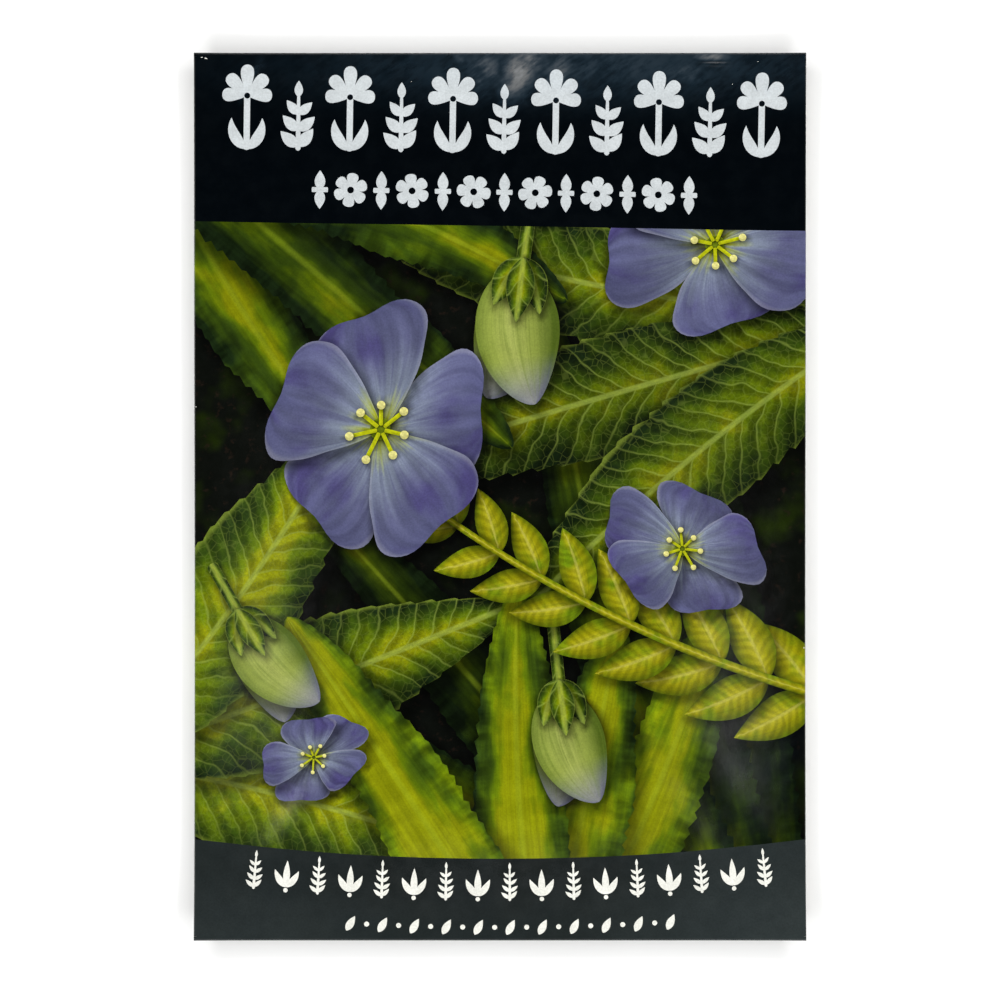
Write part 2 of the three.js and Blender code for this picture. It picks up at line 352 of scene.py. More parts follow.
    def on_region(self, region, s, t, with_corners=True):
        """Places of the paper's middle, for places on one stretch of the blank."""
        x, y = s, t
        if region == FRONT:
            z = self.front_height(x, y)
        elif region == BACK:
            x = self.left_fold + self.left_end - s
            z = self.back_height(x, y)
        elif region == TAB:
            x = self.right_fold + self.right_end - s
            z = self.back_height(x, y) + self.pitch
        elif region == LEFT_FOLD:
            angle = (self.left_fold - s) / self.left_radius
            x, z = self.on_side_fold(self.left_fold, self.left_radius, 0, angle, t)
        elif region == RIGHT_FOLD:
            angle = (s - self.right_fold) / self.right_radius
            x, z = self.on_side_fold(self.right_fold, self.right_radius, self.pitch, angle, t)
        elif region == LOW_FOLD:
            y, z = self.on_end_fold(self.low_fold, (self.low_fold - t) / self.end_radius, s)
        elif region == HIGH_FOLD:
            y, z = self.on_end_fold(self.high_fold, (t - self.high_fold) / self.end_radius, s)
        else:
            y = self.low_fold + self.low_end - t if region == LOW_FLAP else self.high_fold + self.high_end - t
            z = self.back_height(x, y) - self.pitch
        if region in END_REGIONS and with_corners:
            x = s + self.pressed_out(s, t)
        return np.stack([self.drawn_in(x, y), y, z], axis=-1)

    def folded(self, blank):
        """Places of the paper's middle, and the directions that its printed side faces there."""
        places = np.zeros((len(blank), 3))
        facing = np.zeros((len(blank), 3))
        regions = self.regions(blank[:, 0], blank[:, 1])
        for region in np.unique(regions):
            chosen = regions == region
            s, t = blank[chosen, 0], blank[chosen, 1]
            places[chosen] = self.on_region(region, s, t)
            across = self.on_region(region, s + NUDGE, t, False) - self.on_region(region, s - NUDGE, t, False)
            along = self.on_region(region, s, t + NUDGE, False) - self.on_region(region, s, t - NUDGE, False)
            facing[chosen] = np.cross(across, along)
        return places, facing / np.linalg.norm(facing, axis=1, keepdims=True)

    def flap_side(self, fold, along):
        """Where a flap's side runs on the blank, at a share of the flap's length."""
        inset = self.shoulder + (self.inset - self.shoulder) * along
        return fold * (1 - inset / self.half_width)

    def outline(self):
        """The flat blank as it is cut out, from the foot's left corner and counter-clockwise."""
        left_near, left_far = self.flap_side(self.left_fold, 0), self.flap_side(self.left_fold, 1)
        right_near, right_far = self.flap_side(self.right_fold, 0), self.flap_side(self.right_fold, 1)
        return [
            (left_far, self.low_tip), (right_far, self.low_tip),
            (right_near, self.low_end), (right_near, self.low_fold),
            (self.tab_edge, self.low_fold), (self.tab_edge, self.high_fold),
            (right_near, self.high_fold), (right_near, self.high_end),
            (right_far, self.high_tip), (left_far, self.high_tip),
            (left_near, self.high_end), (left_near, self.high_fold),
            (self.back_edge, self.high_fold), (self.back_edge, self.low_fold),
            (left_near, self.low_fold), (left_near, self.low_end),
        ]


# The print. Its shapes are laid one over another, as a printer's artwork is.

(HEADER, FOOTER, GROUND, STRAP, LEAF, SPRIG, PETAL, EYE, BUD, PALE, CREAM, BACK_TINT, BACK_INK, BARE,
 CUT_EDGE) = range(15)
FLAT_INKS = (PALE, CREAM, BACK_INK, BARE)

# Light in the picture falls from the upper left, and lights a blade's side that faces it by this share more.
PICTURE_LIGHT = np.array([-0.5, 0.87])
SIDE_LIGHT = 0.2

# How far apart the points of a toothed and of a smooth outline lie, in millimetres, and the fewest it has.
TOOTHED_SPACING = 0.36
SMOOTH_SPACING = 0.55
FEWEST_POINTS = 16

# The slightest bend that a blade has, and the length that counts as a whole in a printed ground, in mm.
STRAIGHT = 1e-5
GROUND_LENGTH = 50


# Half widths of a printed shape, as shares of its widest, at a share of the way to its tip.

def leaf_width(u):
    return np.sin(np.pi * u**0.8) ** 0.9


def strap_width(u):
    return np.clip(6 * u, 0, 1) ** 0.5 * np.clip(1 - u**2.6, 0, 1) ** 0.55


def petal_width(u):
    return u**0.8 * np.sqrt(np.clip(1 - u**4.5, 0, 1)) / 0.72


def bud_width(u):
    return np.sin(np.pi * u**0.85) ** 0.62


def round_width(u):
    return 2 * np.sqrt(np.clip(u * (1 - u), 0, 1))


def stem_width(u):
    return np.clip(np.minimum(u, 1 - u) * 30, 0, 1) ** 0.5 * (1 - 0.45 * u)


def rule_width(u):
    return np.clip(np.minimum(u, 1 - u) * 60, 0, 1) ** 0.5


class Blade:
    """A printed leaf, petal, bud or stroke: a shape of changing width along a bent line."""

    def __init__(self, ink, root, heading, length, half_width, width=leaf_width, bend=0.0, tone=0.0, lift=0.0,
                 teeth=0.0, bite=0.1, wave=0.0, notch=0.0, squash=(1.0, 0.0)):
        self.ink = ink
        self.root = np.array(root, dtype=float)
        self.length = length
        self.half_width = half_width
        self.width = width
        self.bend = bend if abs(bend) > STRAIGHT else STRAIGHT
        self.tone = tone
        self.lift = lift
        self.teeth = teeth
        self.bite = bite
        self.wave = wave
        self.notch = notch
        turn = rotation(heading)
        share, towards = squash
        lean = rotation(towards) @ np.diag([1.0, share]) @ rotation(-towards)
        self.matrix = lean @ turn
        self.inverse = np.linalg.inv(self.matrix)

    def on_sheet(self, a, b):
        """Places on the blank, for distances along the blade's line and out from it."""
        radius = 1 / self.bend
        local = np.stack([(radius - b) * np.sin(a / radius), radius - (radius - b) * np.cos(a / radius)])
        return (self.matrix @ local).T + self.root

    def in_blade(self, points):
        """Distances along the blade's line and out from it, for places on the blank."""
        x, y = self.inverse @ (points - self.root).T
        radius = 1 / self.bend
        side = math.copysign(1, radius)
        a = np.arctan2(x, (radius - y) * side) * abs(radius)
        b = radius - side * np.hypot(x, radius - y)
        return a, b

    def half(self, a):
        return self.half_width * self.width(np.clip(a / self.length, 0, 1))

    def margin(self, u, side):
        """One edge, with its waves, its teeth that point to the tip, and the notch in the tip."""
        half = self.half(u * self.length)
        own = 5 * self.tone + 2 * side
        swell = 1 + self.wave * (np.sin(8 * u + own) + 0.6 * np.sin(19 * u - own))
        if self.teeth:
            phase = (u * self.length / self.teeth + 0.4 * np.sin(6 * u + own)) % 1
            swell = swell - self.bite * (0.7 + 0.3 * np.sin(23 * u + own)) * (1 - phase)
        dip = self.notch * np.exp(-((half / (0.4 * self.half_width)) ** 2)) * smooth((u - 0.7) / 0.3)
        return self.on_sheet(u * self.length * (1 - dip), side * half * swell)

    def outline(self):
        count = max(FEWEST_POINTS, int(self.length / (TOOTHED_SPACING if self.teeth else SMOOTH_SPACING)))
        u = (1 - np.cos(np.linspace(0, np.pi, count + 1))) / 2
        return np.vstack([self.margin(u, -1), self.margin(u, 1)[-2:0:-1]])

    def outside(self, points):
        """How far points lie outside the blade, roughly."""
        a, b = self.in_blade(points)
        beside = np.abs(b) - self.half(a)
        beyond = np.maximum(-a, a - self.length)
        return np.where(beyond > 0, np.hypot(beyond, np.maximum(beside, 0)), beside)

    def coordinates(self, points):
        """Shares of the way along and across, distances along and across, and how light it lies there."""
        a, b = self.in_blade(points)
        v = np.clip(b / np.maximum(self.half(a), 0.05), -1.1, 1.1)
        left_side = self.matrix @ np.array([0.0, 1.0])
        slope_light = float(left_side @ PICTURE_LIGHT) / np.linalg.norm(left_side)
        light = np.ones(len(v)) if self.ink in FLAT_INKS else 1 + SIDE_LIGHT * slope_light * v
        return a / self.length, v, a, b, light


class Area:
    """A printed ground, given by its outline."""

    def __init__(self, ink, corners, tone=0.0):
        self.ink = ink
        self.corners = np.array(corners, dtype=float)
        self.tone = tone
        self.lift = 0.0

    def outline(self):
        return self.corners

    def coordinates(self, points):
        s, t = points.T
        return s / GROUND_LENGTH, t / GROUND_LENGTH, s, t, np.ones(len(points))


def rotation(degrees):
    turn = math.radians(degrees)
    return np.array([[math.cos(turn), -math.sin(turn)], [math.sin(turn), math.cos(turn)]])


def towards(root, heading, distance):
    """The place at a distance from a root, in a direction given in degrees."""
    turn = math.radians(heading)
    return root[0] + distance * math.cos(turn), root[1] + distance * math.sin(turn)


def disc(ink, middle, radius, tone=0.0, lift=0.0):
    left = middle[0] - radius, middle[1]
    return Blade(ink, left, 0, 2 * radius, radius, round_width, tone=tone, lift=lift)


def box(ink, low, high):
    return Area(ink, [low, (high[0], low[1]), high, (low[0], high[1])])


def leaf_fan(ink, root, first, last, lengths, half_width, tone, bend):
    """Leaves that spread from one root, between two headings: broad leaves or long straps."""
    leaves = []
    broad = ink == LEAF
    width = leaf_width if broad else strap_width
    teeth, bite, wave = (3.0, 0.1, 0.03) if broad else (2.0, 0.13, 0.05)
    for i, length in enumerate(lengths):
        share = i / max(1, len(lengths) - 1)
        heading = first + (last - first) * share
        shade = tone + 0.2 * math.sin(2.4 * i + root[0])
        leaves.append(Blade(ink, root, heading, length, half_width, width, bend=bend * math.cos(1.7 * i),
                            tone=shade, lift=1.0, wave=wave, teeth=teeth, bite=bite))
    return leaves


def sprig(ink, root, heading, length, pairs, leaf, half_width, bend=0.0, tone=0.0, lift=0.0, stem=0.35,
          spread=46):
    """A bent stem with pairs of small leaves and one at its tip."""
    axis = Blade(ink, root, heading, length, stem, stem_width, bend=bend, tone=tone - 0.2, lift=lift)
    parts = []
    for i in range(pairs):
        a = length * (0.08 + 0.86 * i / pairs)
        place = axis.on_sheet(np.array([a]), np.array([0.0]))[0]
        here = heading + math.degrees(a * axis.bend)
        size = 1 - 0.4 * (i / pairs) ** 1.5
        for side in (-1, 1):
            lean = here + side * (spread + 6 * math.sin(1.9 * i + side))
            parts.append(Blade(ink, place, lean, leaf * size, half_width * size, bend=-side * 0.25 / leaf,
                               tone=tone + 0.25 * side + 0.1 * math.sin(3 * i), lift=lift))
    tip = axis.on_sheet(np.array([length * 0.96]), np.array([0.0]))[0]
    parts.append(Blade(ink, tip, heading + math.degrees(length * axis.bend), leaf * 0.7, half_width * 0.7,
                       tone=tone, lift=lift))
    return parts + [axis]


# Which petal is printed over which, and how many stamens stand in the eye.
PETAL_ORDER = (0, 3, 1, 4, 2)
STAMENS = 7


def blossom(middle, radius, turn, squash, tone=0.0):
    """Five broad petals round a green eye with its stamens."""
    parts = []
    for i in PETAL_ORDER:
        heading = turn + 360 / len(PETAL_ORDER) * i + 6 * math.sin(3.1 * i + turn)
        reach = radius * (1 + 0.07 * math.sin(2.3 * i + radius))
        bend = 0.3 * math.sin(1.9 * i + turn) / radius
        shade = tone + 0.45 * math.sin(2.1 * i + turn)
        parts.append(Blade(PETAL, middle, heading, reach, radius * 0.54, petal_width, bend=bend, tone=shade,
                           lift=0.75, wave=0.022, notch=0.07, squash=squash))
    eye = towards(middle, turn, -radius * 0.09)
    parts.append(Blade(EYE, eye, turn, radius * 0.18, radius * 0.09, round_width, tone=-0.9, lift=0.25,
                       squash=squash))
    for i in range(STAMENS):
        heading = turn + 20 + 360 / STAMENS * i
        reach = radius * (0.2 + 0.04 * math.sin(5 * i))
        foot = towards(middle, heading, radius * 0.03)
        parts.append(Blade(EYE, foot, heading, reach, radius * 0.016, rule_width, tone=0.1, lift=0.1))
        tip = towards(middle, heading, radius * 0.03 + reach)
        parts.append(disc(EYE, tip, radius * 0.034, tone=1, lift=0.2))
    return parts


def bud(root, heading, length, half_width, tone=0.0):
    """An unopened bud in its sepals, on a short stalk."""
    stalk = towards(root, heading + 180, length * 0.5)
    parts = [
        Blade(LEAF, stalk, heading, length * 0.62, length * 0.05, rule_width, tone=0.1, lift=0.5),
        Blade(BUD, root, heading + 7, length * 0.98, half_width * 0.8, bud_width, bend=-0.5 / length,
              tone=tone - 0.5, lift=0.5),
        Blade(BUD, root, heading - 4, length, half_width * 0.86, bud_width, bend=0.6 / length, tone=tone,
              lift=0.8),
    ]
    foot = towards(root, heading, -0.06 * length)
    for lean, size in ((34, 0.42), (-34, 0.4), (2, 0.46)):
        parts.append(Blade(LEAF, foot, heading + lean, length * size, half_width * 0.3,
                           bend=-lean / 40 / length, tone=0.3 - 0.01 * lean, lift=0.4))
    return parts


# Edges of the printed bands on the front, in millimetres, and the slope of the header's rows in degrees.
PRINTED_HALF_WIDTH = 41.25
HEADER_EDGE_LEFT = 37.1
HEADER_EDGE_RIGHT = 35.8
HEADER_SLOPE = -0.9
FOOTER_EDGE = -48.6
FOOTER_SAG_RADIUS = 354

# Rows of ornament: the middle one's place and the distance to the next, in millimetres. A footer row's
# middle is given across alone, with its depth under the footer's arched edge.
PLANT_MIDDLE, PLANT_PITCH = (0.5, 46.2), 6.94
BORDER_MIDDLE, BORDER_PITCH = (0.6, 41.0), 4.15
SEEDLING_MIDDLE, SEEDLING_PITCH, SEEDLING_DEPTH = 1.3, 4.25, 5.8
SPRINKLE_MIDDLE, SPRINKLE_PITCH, SPRINKLE_DEPTH = 1.4, 2.1, 9.4

# Far enough out to lie off the blank on every side.
BEYOND = 140


def picture():
    """Leaves, blossoms, buds and a young sprig over a dark ground."""
    parts = [box(GROUND, (-BEYOND, -BEYOND), (BEYOND, BEYOND))]
    parts += leaf_fan(STRAP, (35, -72), 90, 152, [96, 104, 102, 96, 86, 70], 7.2, -0.7, 0.003)
    parts += leaf_fan(LEAF, (52, 24), 178, 212, [76, 86, 68], 8.4, -0.3, -0.004)
    parts += leaf_fan(STRAP, (-48, 50), -66, -14, [54, 66, 62], 7.0, -0.15, 0.005)
    parts += leaf_fan(LEAF, (-54, -36), -6, 46, [54, 62, 62], 9.0, 0.2, -0.005)
    parts += leaf_fan(STRAP, (6, -70), 60, 120, [62, 54, 58, 64], 7.2, 0.85, 0.004)
    parts += bud((3, 31), 262, 19, 6.6, tone=0.2)
    parts += blossom((29, 34), 15, 200, (0.84, 20), tone=-0.1)
    parts += bud((8, -25.5), 276, 16.5, 5.6, tone=0.05)
    parts += sprig(SPRIG, (48, -28), 166, 70, 9, 12.6, 2.9, bend=-0.006, tone=0.2, lift=0.7, stem=0.7)
    parts += blossom((24.5, -7), 11, 75, (0.82, -30), tone=0.25)
    parts += bud((-35, -16), 300, 16, 5.4, tone=0.3)
    parts += blossom((-16, 9), 17, 18, (0.88, 60), tone=0.0)
    parts += blossom((-25, -35), 7.6, 40, (0.75, 15), tone=-0.3)
    return parts


def header():
    """A dark band with two rows of pale ornament: tall plants and blossoms over a leafy border."""
    slope = (HEADER_EDGE_RIGHT - HEADER_EDGE_LEFT) / (2 * PRINTED_HALF_WIDTH)
    middle = (HEADER_EDGE_LEFT + HEADER_EDGE_RIGHT) / 2
    parts = [Area(HEADER, [(-BEYOND, middle - slope * BEYOND), (BEYOND, middle + slope * BEYOND),
                           (BEYOND, BEYOND), (-BEYOND, BEYOND)])]
    for i in range(-5, 6):
        foot = towards(PLANT_MIDDLE, HEADER_SLOPE, PLANT_PITCH * i)
        parts += pale_flower(foot, 11.6) if i % 2 else pale_twig(foot, 9.2)
    for i in range(-6, 7):
        place = towards(BORDER_MIDDLE, HEADER_SLOPE, BORDER_PITCH * i)
        parts += rosette(place, 2.3, 8 * i) if i % 2 else leaf_pair(place, 5.2)
    return parts


def pale_flower(foot, height):
    """An upright plant of the header's ornament: an open flower of five petals over two arched leaves."""
    up = 90 + HEADER_SLOPE
    head = towards(foot, up, height * 0.63)
    parts = [Blade(PALE, foot, up, height * 0.66, 0.42, rule_width)]
    fork = towards(foot, up, 0.2)
    for side in (-1, 1):
        parts.append(Blade(PALE, fork, up + side * 60, height * 0.42, 0.76, bend=-side * 0.24))
    for i in range(-2, 3):
        parts.append(Blade(PALE, head, up + 44 * i, height * (0.36 - 0.035 * abs(i)), 0.96, petal_width))
    return parts + [disc(HEADER, head, 0.4)]


def pale_twig(foot, height):
    """An upright twig of the header's ornament."""
    return sprig(PALE, foot, 90 + HEADER_SLOPE, height * 0.82, 3, height * 0.34, 0.82, stem=0.36, spread=52)


def rosette(middle, radius, turn):
    """A small open flower of the header's border."""
    petals = [Blade(PALE, middle, turn + 60 * i, radius, radius * 0.36, petal_width) for i in range(6)]
    return petals + [disc(HEADER, middle, radius * 0.2)]


def leaf_pair(middle, height):
    """Two pointed leaves of the header's border, one up and one down, across a short bar."""
    up = 90 + HEADER_SLOPE
    return [
        Blade(PALE, middle, up, height * 0.5, 0.72),
        Blade(PALE, middle, up + 180, height * 0.5, 0.72),
        Blade(PALE, towards(middle, HEADER_SLOPE, -1.1), HEADER_SLOPE, 2.2, 0.34, rule_width),
    ]


def on_footer_arc(x, depth):
    """A place a given depth under the footer's arched edge, and the arc's heading there."""
    angle = math.asin(x / FOOTER_SAG_RADIUS)
    radius = FOOTER_SAG_RADIUS + depth
    middle = FOOTER_EDGE + FOOTER_SAG_RADIUS
    return (radius * math.sin(angle), middle - radius * math.cos(angle)), math.degrees(angle)


def footer():
    """A dark arched band with a row of slender seedlings over a row of small leaves and dots."""
    edge = [on_footer_arc(x, 0)[0] for x in np.linspace(BEYOND, -BEYOND, 57)]
    parts = [Area(FOOTER, [(-BEYOND, -BEYOND), (BEYOND, -BEYOND)] + edge)]
    for i in range(-8, 9):
        root, heading = on_footer_arc(SEEDLING_MIDDLE + SEEDLING_PITCH * i, SEEDLING_DEPTH)
        parts += trefoil(root, heading + 90, 4.3) if i % 2 else fern(root, heading + 90, 5.2)
    for i in range(-10, 11):
        place, heading = on_footer_arc(SPRINKLE_MIDDLE + SPRINKLE_PITCH * i, SPRINKLE_DEPTH)
        if i % 2:
            parts.append(disc(CREAM, place, 0.34))
        else:
            root = towards(place, heading + 62, -1.15)
            parts.append(Blade(CREAM, root, heading + 62, 2.3, 0.52))
    return parts


def fern(root, heading, height):
    """A slender frond of the footer's ornament."""
    return sprig(CREAM, root, heading, height * 0.86, 4, height * 0.27, 0.27, stem=0.2, spread=56)


def trefoil(root, heading, height):
    """Three leaves of the footer's ornament, over a dot."""
    parts = [disc(CREAM, towards(root, heading, 0.25), 0.3)]
    fork = towards(root, heading, height * 0.16)
    for lean, size in ((-52, 0.66), (0, 0.84), (52, 0.66)):
        parts.append(Blade(CREAM, fork, heading + lean, height * size, 0.46, bend=-lean * 0.004))
    return parts


# The back's print: its frame's half line and the space inside it, its strip of boxes and its rules, in mm.
FRAME_LINE = 0.2
FRAME_SPACE = 6
BOXES, FILLED_BOXES = 12, range(3, 7)
BOX_HEIGHT, BOX_GAP, BOX_LINE = 6, 1, 0.25
RULES, RULE_PITCH, RULE_HEIGHT = 7, 2.9, 0.14


def back_frame(left, right, low, high):
    """A thin frame round the back's print."""
    bars = [box(BACK_INK, (left, t - FRAME_LINE), (right, t + FRAME_LINE)) for t in (low, high)]
    posts = [box(BACK_INK, (s - FRAME_LINE, low - FRAME_LINE), (s + FRAME_LINE, high + FRAME_LINE))
             for s in (left, right)]
    return bars + posts


def back_boxes(left, right, foot):
    """A strip of plain boxes, of which a few are filled."""
    parts = []
    cell = (right - left) / BOXES
    for i in range(BOXES):
        s = left + i * cell + BOX_GAP / 2
        parts.append(box(BACK_INK, (s, foot), (s + cell - BOX_GAP, foot + BOX_HEIGHT)))
        if i not in FILLED_BOXES:
            parts.append(box(BACK_TINT, (s + BOX_LINE, foot + BOX_LINE),
                             (s + cell - BOX_GAP - BOX_LINE, foot + BOX_HEIGHT - BOX_LINE)))
    return parts


def back_print(form):
    """The back panel's pale tint, with a thin frame, a sprig, a strip of plain boxes and rules over it."""
    left, right = form.back_edge + 5, form.left_end - 5
    low, high = form.low_fold + 18, form.high_fold - 23
    inner_left, inner_right = left + FRAME_SPACE, right - FRAME_SPACE
    parts = [box(BACK_TINT, (form.back_edge - 2, -BEYOND), (form.left_end - 0.8, BEYOND))]
    parts += back_frame(left, right, low, high)
    parts += sprig(BACK_INK, ((left + right) / 2, high - 27), 90, 17, 5, 6.5, 1.3, stem=0.3)
    parts += back_boxes(inner_left, inner_right, low + 8)
    for i in range(RULES):
        t = low + 22 + i * RULE_PITCH
        parts.append(box(BACK_INK, (inner_left, t), (inner_right, t + RULE_HEIGHT)))
    return parts + [box(BARE, (form.right_end + 0.1, -BEYOND), (BEYOND, BEYOND))]


# Chips where the ink has cracked off the folds: across and along, heading, and half width, in millimetres.
CHIPS = [
    (-40.3, 59.14, 4, 0.05), (-39.8, 59.08, -20, 0.07), (41.05, -20.5, 91, 0.04), (-41.0, 12.0, 88, 0.03),
    (34.7, 58.6, 10, 0.03), (31.3, 55.5, 70, 0.03), (-12.0, 55.9, 40, 0.025),
]


def chips():
    """Bare paper in the worn corners and along the folds."""
    return [Blade(BARE, (s, t), heading, 6 * half_width, half_width, wave=0.3, tone=s)
            for s, t, heading, half_width in CHIPS]


def artwork(form):
    """The whole print, from what lies lowest to what lies highest."""
    return picture() + header() + footer() + chips() + back_print(form)


# The printed sheet's mesh.

# How far apart the loose points of the plainer stretches lie, and what they keep clear of, in millimetres.
PLAIN_STEP = 2.6
FLAP_STEP = 2.4
FLAP_MARGIN = 0.6
FOLD_MARGIN = 0.12
PRINT_MARGIN = 0.3
CORNER_STEP = 0.4
CORNER_GAP = 0.2
CREASE_STEP = 0.45

# Corners of the flat blank nearer to each other than this are one, in millimetres.
SAME_POINT = 1e-5
INSIDE_FACES = 1


class Blank:
    """Points, lines and faces to be joined into one triangulated blank."""

    def __init__(self):
        self.points = []
        self.lines = []
        self.faces = []

    def add_points(self, points):
        first = len(self.points)
        self.points.extend((float(s), float(t)) for s, t in points)
        return list(range(first, len(self.points)))

    def add_line(self, points):
        ids = self.add_points(points)
        self.lines.extend(zip(ids, ids[1:]))

    def add_face(self, points):
        self.faces.append(self.add_points(points))


def steps(start, end, step):
    return np.linspace(start, end, max(2, int(round(abs(end - start) / step)) + 1))


def inner_grid(columns, rows):
    """The crossings of a grid's columns and rows, but for its outer ones."""
    return [(s, t) for s in columns[1:-1] for t in rows[1:-1]]


def add_end_fold(blank, form, columns, fold, end):
    """Lines across an end fold, and short ones at its corners, where the paper is pressed out."""
    left, right = form.flap_side(form.left_fold, 0), form.flap_side(form.right_fold, 0)
    for corner in (left, right):
        inward = steps(corner, corner - math.copysign(CORNER_REACH, corner), CORNER_STEP)
        blank.add_line([(s, fold + math.copysign(CORNER_RUN, end)) for s in inward])
    between = [s for s in columns if abs(s) < abs(left) - CORNER_GAP]
    for t in steps(fold, end, abs(end - fold) / FOLD_STEPS):
        blank.add_line([(s, t) for s in (left, *between, right)])


def fine_crease_points():
    """Closer points over the creases that are too narrow for the panels' own points to show."""
    points = []
    for x, y, heading, half_length, half_width, _ in CREASES:
        if half_width < FINE_CREASE:
            lengthwise = steps(-1.6 * half_length, 1.6 * half_length, CREASE_STEP)
            crosswise = steps(-2.3 * half_width, 2.3 * half_width, 0.3 * half_width)
            spread = np.array([(a, b) for a in lengthwise for b in crosswise])
            points += [tuple(point) for point in (rotation(heading) @ spread.T).T + (x, y)]
    return points


def sheet_points(form, step):
    """The blank with its outline and its folds' lines, and the loose points to be spread over it."""
    blank = Blank()
    blank.add_face(form.outline())
    rows = steps(form.low_fold, form.high_fold, step)
    columns = steps(form.left_fold, form.right_fold, step)
    loose = inner_grid(columns, rows)
    loose += inner_grid(steps(form.back_edge, form.left_end, PLAIN_STEP), rows)
    loose += inner_grid(steps(form.right_end, form.tab_edge, PLAIN_STEP), rows)
    flap_side = abs(form.flap_side(form.left_fold, 1)) - FLAP_MARGIN
    flap_columns = [s for s in columns if abs(s) < flap_side]
    ends = (form.low_fold, form.low_end, form.low_tip), (form.high_fold, form.high_end, form.high_tip)
    for fold, end, tip in ends:
        loose += [(s, t) for s in flap_columns for t in steps(end, tip, FLAP_STEP)[1:-1]]
        add_end_fold(blank, form, columns, fold, end)
    for fold, end in ((form.left_fold, form.left_end), (form.right_fold, form.right_end)):
        for s in steps(fold, end, abs(end - fold) / FOLD_STEPS):
            blank.add_line([(s, t) for t in rows])
    loose += fine_crease_points()
    return blank, [(s, t) for s, t in loose if t < form.high_fold - FOLD_MARGIN or t > form.high_end]


def keep_clear(loose, marks, gap):
    """The loose points that no outline passes close to."""
    tree = KDTree(len(marks))
    for i, (s, t) in enumerate(marks):
        tree.insert((s, t, 0), i)
    tree.balance()
    return [point for point in loose if tree.find((*point, 0))[2] > gap]


def triangulated(form, parts, step):
    """The printed blank as points and triangles, each triangle with the part of the print it shows."""
    blank, loose = sheet_points(form, step)
    for part in parts:
        blank.add_face(part.outline())
    marks = [blank.points[i] for face in blank.faces for i in face]
    blank.add_points(keep_clear(loose, marks, PRINT_MARGIN))
    coords = [Vector(point) for point in blank.points]
    given = coords, blank.lines, blank.faces, INSIDE_FACES, SAME_POINT
    points, _, faces, _, _, sources = delaunay_2d_cdt(*given, True)
    # The first face given is the sheet's own outline. Above it, the part laid last is the one that shows.
    kept = [(face, max(source) - 1) for face, source in zip(faces, sources) if source and min(source) == 0]
    triangles = np.array([face for face, _ in kept])
    shown_parts = np.array([part for _, part in kept])
    used, triangles = np.unique(triangles, return_inverse=True)
    return np.array([points[i] for i in used])[:, :2], triangles.reshape(-1, 3), shown_parts


# The soft shadow of a printed part on those below it: its offset and blur for a lift of 1 mm, and its depth.
SHADOW_OFFSET = 1.1
SHADOW_BLUR = 2.6
SHADOW_SPREAD = 0.15
SHADOW_DEPTH = 0.72
SHADOW_REACH = 6


def cast_shadows(corners, part_of_corner, parts):
    """How much light the parts printed above leave at each corner."""
    light = np.ones(len(corners))
    for i, part in enumerate(parts):
        if part.lift == 0:
            continue
        below = np.flatnonzero(part_of_corner < i)
        reach = part.length + part.half_width + SHADOW_REACH
        below = below[np.abs(corners[below] - part.root).max(axis=1) < reach]
        offset = -SHADOW_OFFSET * part.lift * PICTURE_LIGHT
        away = part.outside(corners[below] - offset)
        light[below] *= 1 - SHADOW_DEPTH * (1 - smooth(away / (SHADOW_BLUR * part.lift) + SHADOW_SPREAD))
    return light


def print_coordinates(points, triangles, shown_parts, parts):
    """At each triangle's corners: its place in the printed shape and in the grain, its light and its tone."""
    corners = points[triangles.ravel()]
    part_of_corner = np.repeat(shown_parts, 3)
    shape = np.zeros((len(corners), 2))
    grain = np.zeros((len(corners), 2))
    light = cast_shadows(corners, part_of_corner, parts)
    tone = np.zeros(len(corners))
    for i in np.unique(shown_parts):
        chosen = part_of_corner == i
        u, v, a, b, own_light = parts[i].coordinates(corners[chosen])
        shape[chosen] = np.stack([u, v], axis=-1)
        grain[chosen] = np.stack([a, b], axis=-1) / MM_IN_A_CM
        light[chosen] = 1 if parts[i].ink in FLAT_INKS else light[chosen] * own_light
        tone[chosen] = parts[i].tone
    return {"Shape": shape, "Grain": grain, "Light": np.stack([light, tone], axis=-1)}


# How worn the print is at an edge, and how much more at the four corners, with each one's reach in mm.
EDGE_WEAR, EDGE_WEAR_REACH = 0.16, 0.42
CORNER_WEAR, CORNER_WEAR_REACH = 0.34, 3
TIP_WEAR, TIP_WEAR_REACH = 0.1, 0.6


def wear_of(form, blank):
    """How worn the print is: along the folded edges, and most at the four corners."""
    s, t = blank.T
    left, right = (form.left_fold + form.left_end) / 2, (form.right_fold + form.right_end) / 2
    low, high = (form.low_fold + form.low_end) / 2, (form.high_fold + form.high_end) / 2
    side = np.minimum(np.abs(s - left), np.abs(s - right))
    end = np.minimum(np.abs(t - low), np.abs(t - high))
    corner = np.hypot(side, end)
    edge = np.exp(-((np.minimum(side, end) / EDGE_WEAR_REACH) ** 2))
    along_edge = edge * (EDGE_WEAR + CORNER_WEAR * np.exp(-corner / CORNER_WEAR_REACH))
    return np.clip(along_edge + TIP_WEAR * np.exp(-corner / TIP_WEAR_REACH), 0, 1)


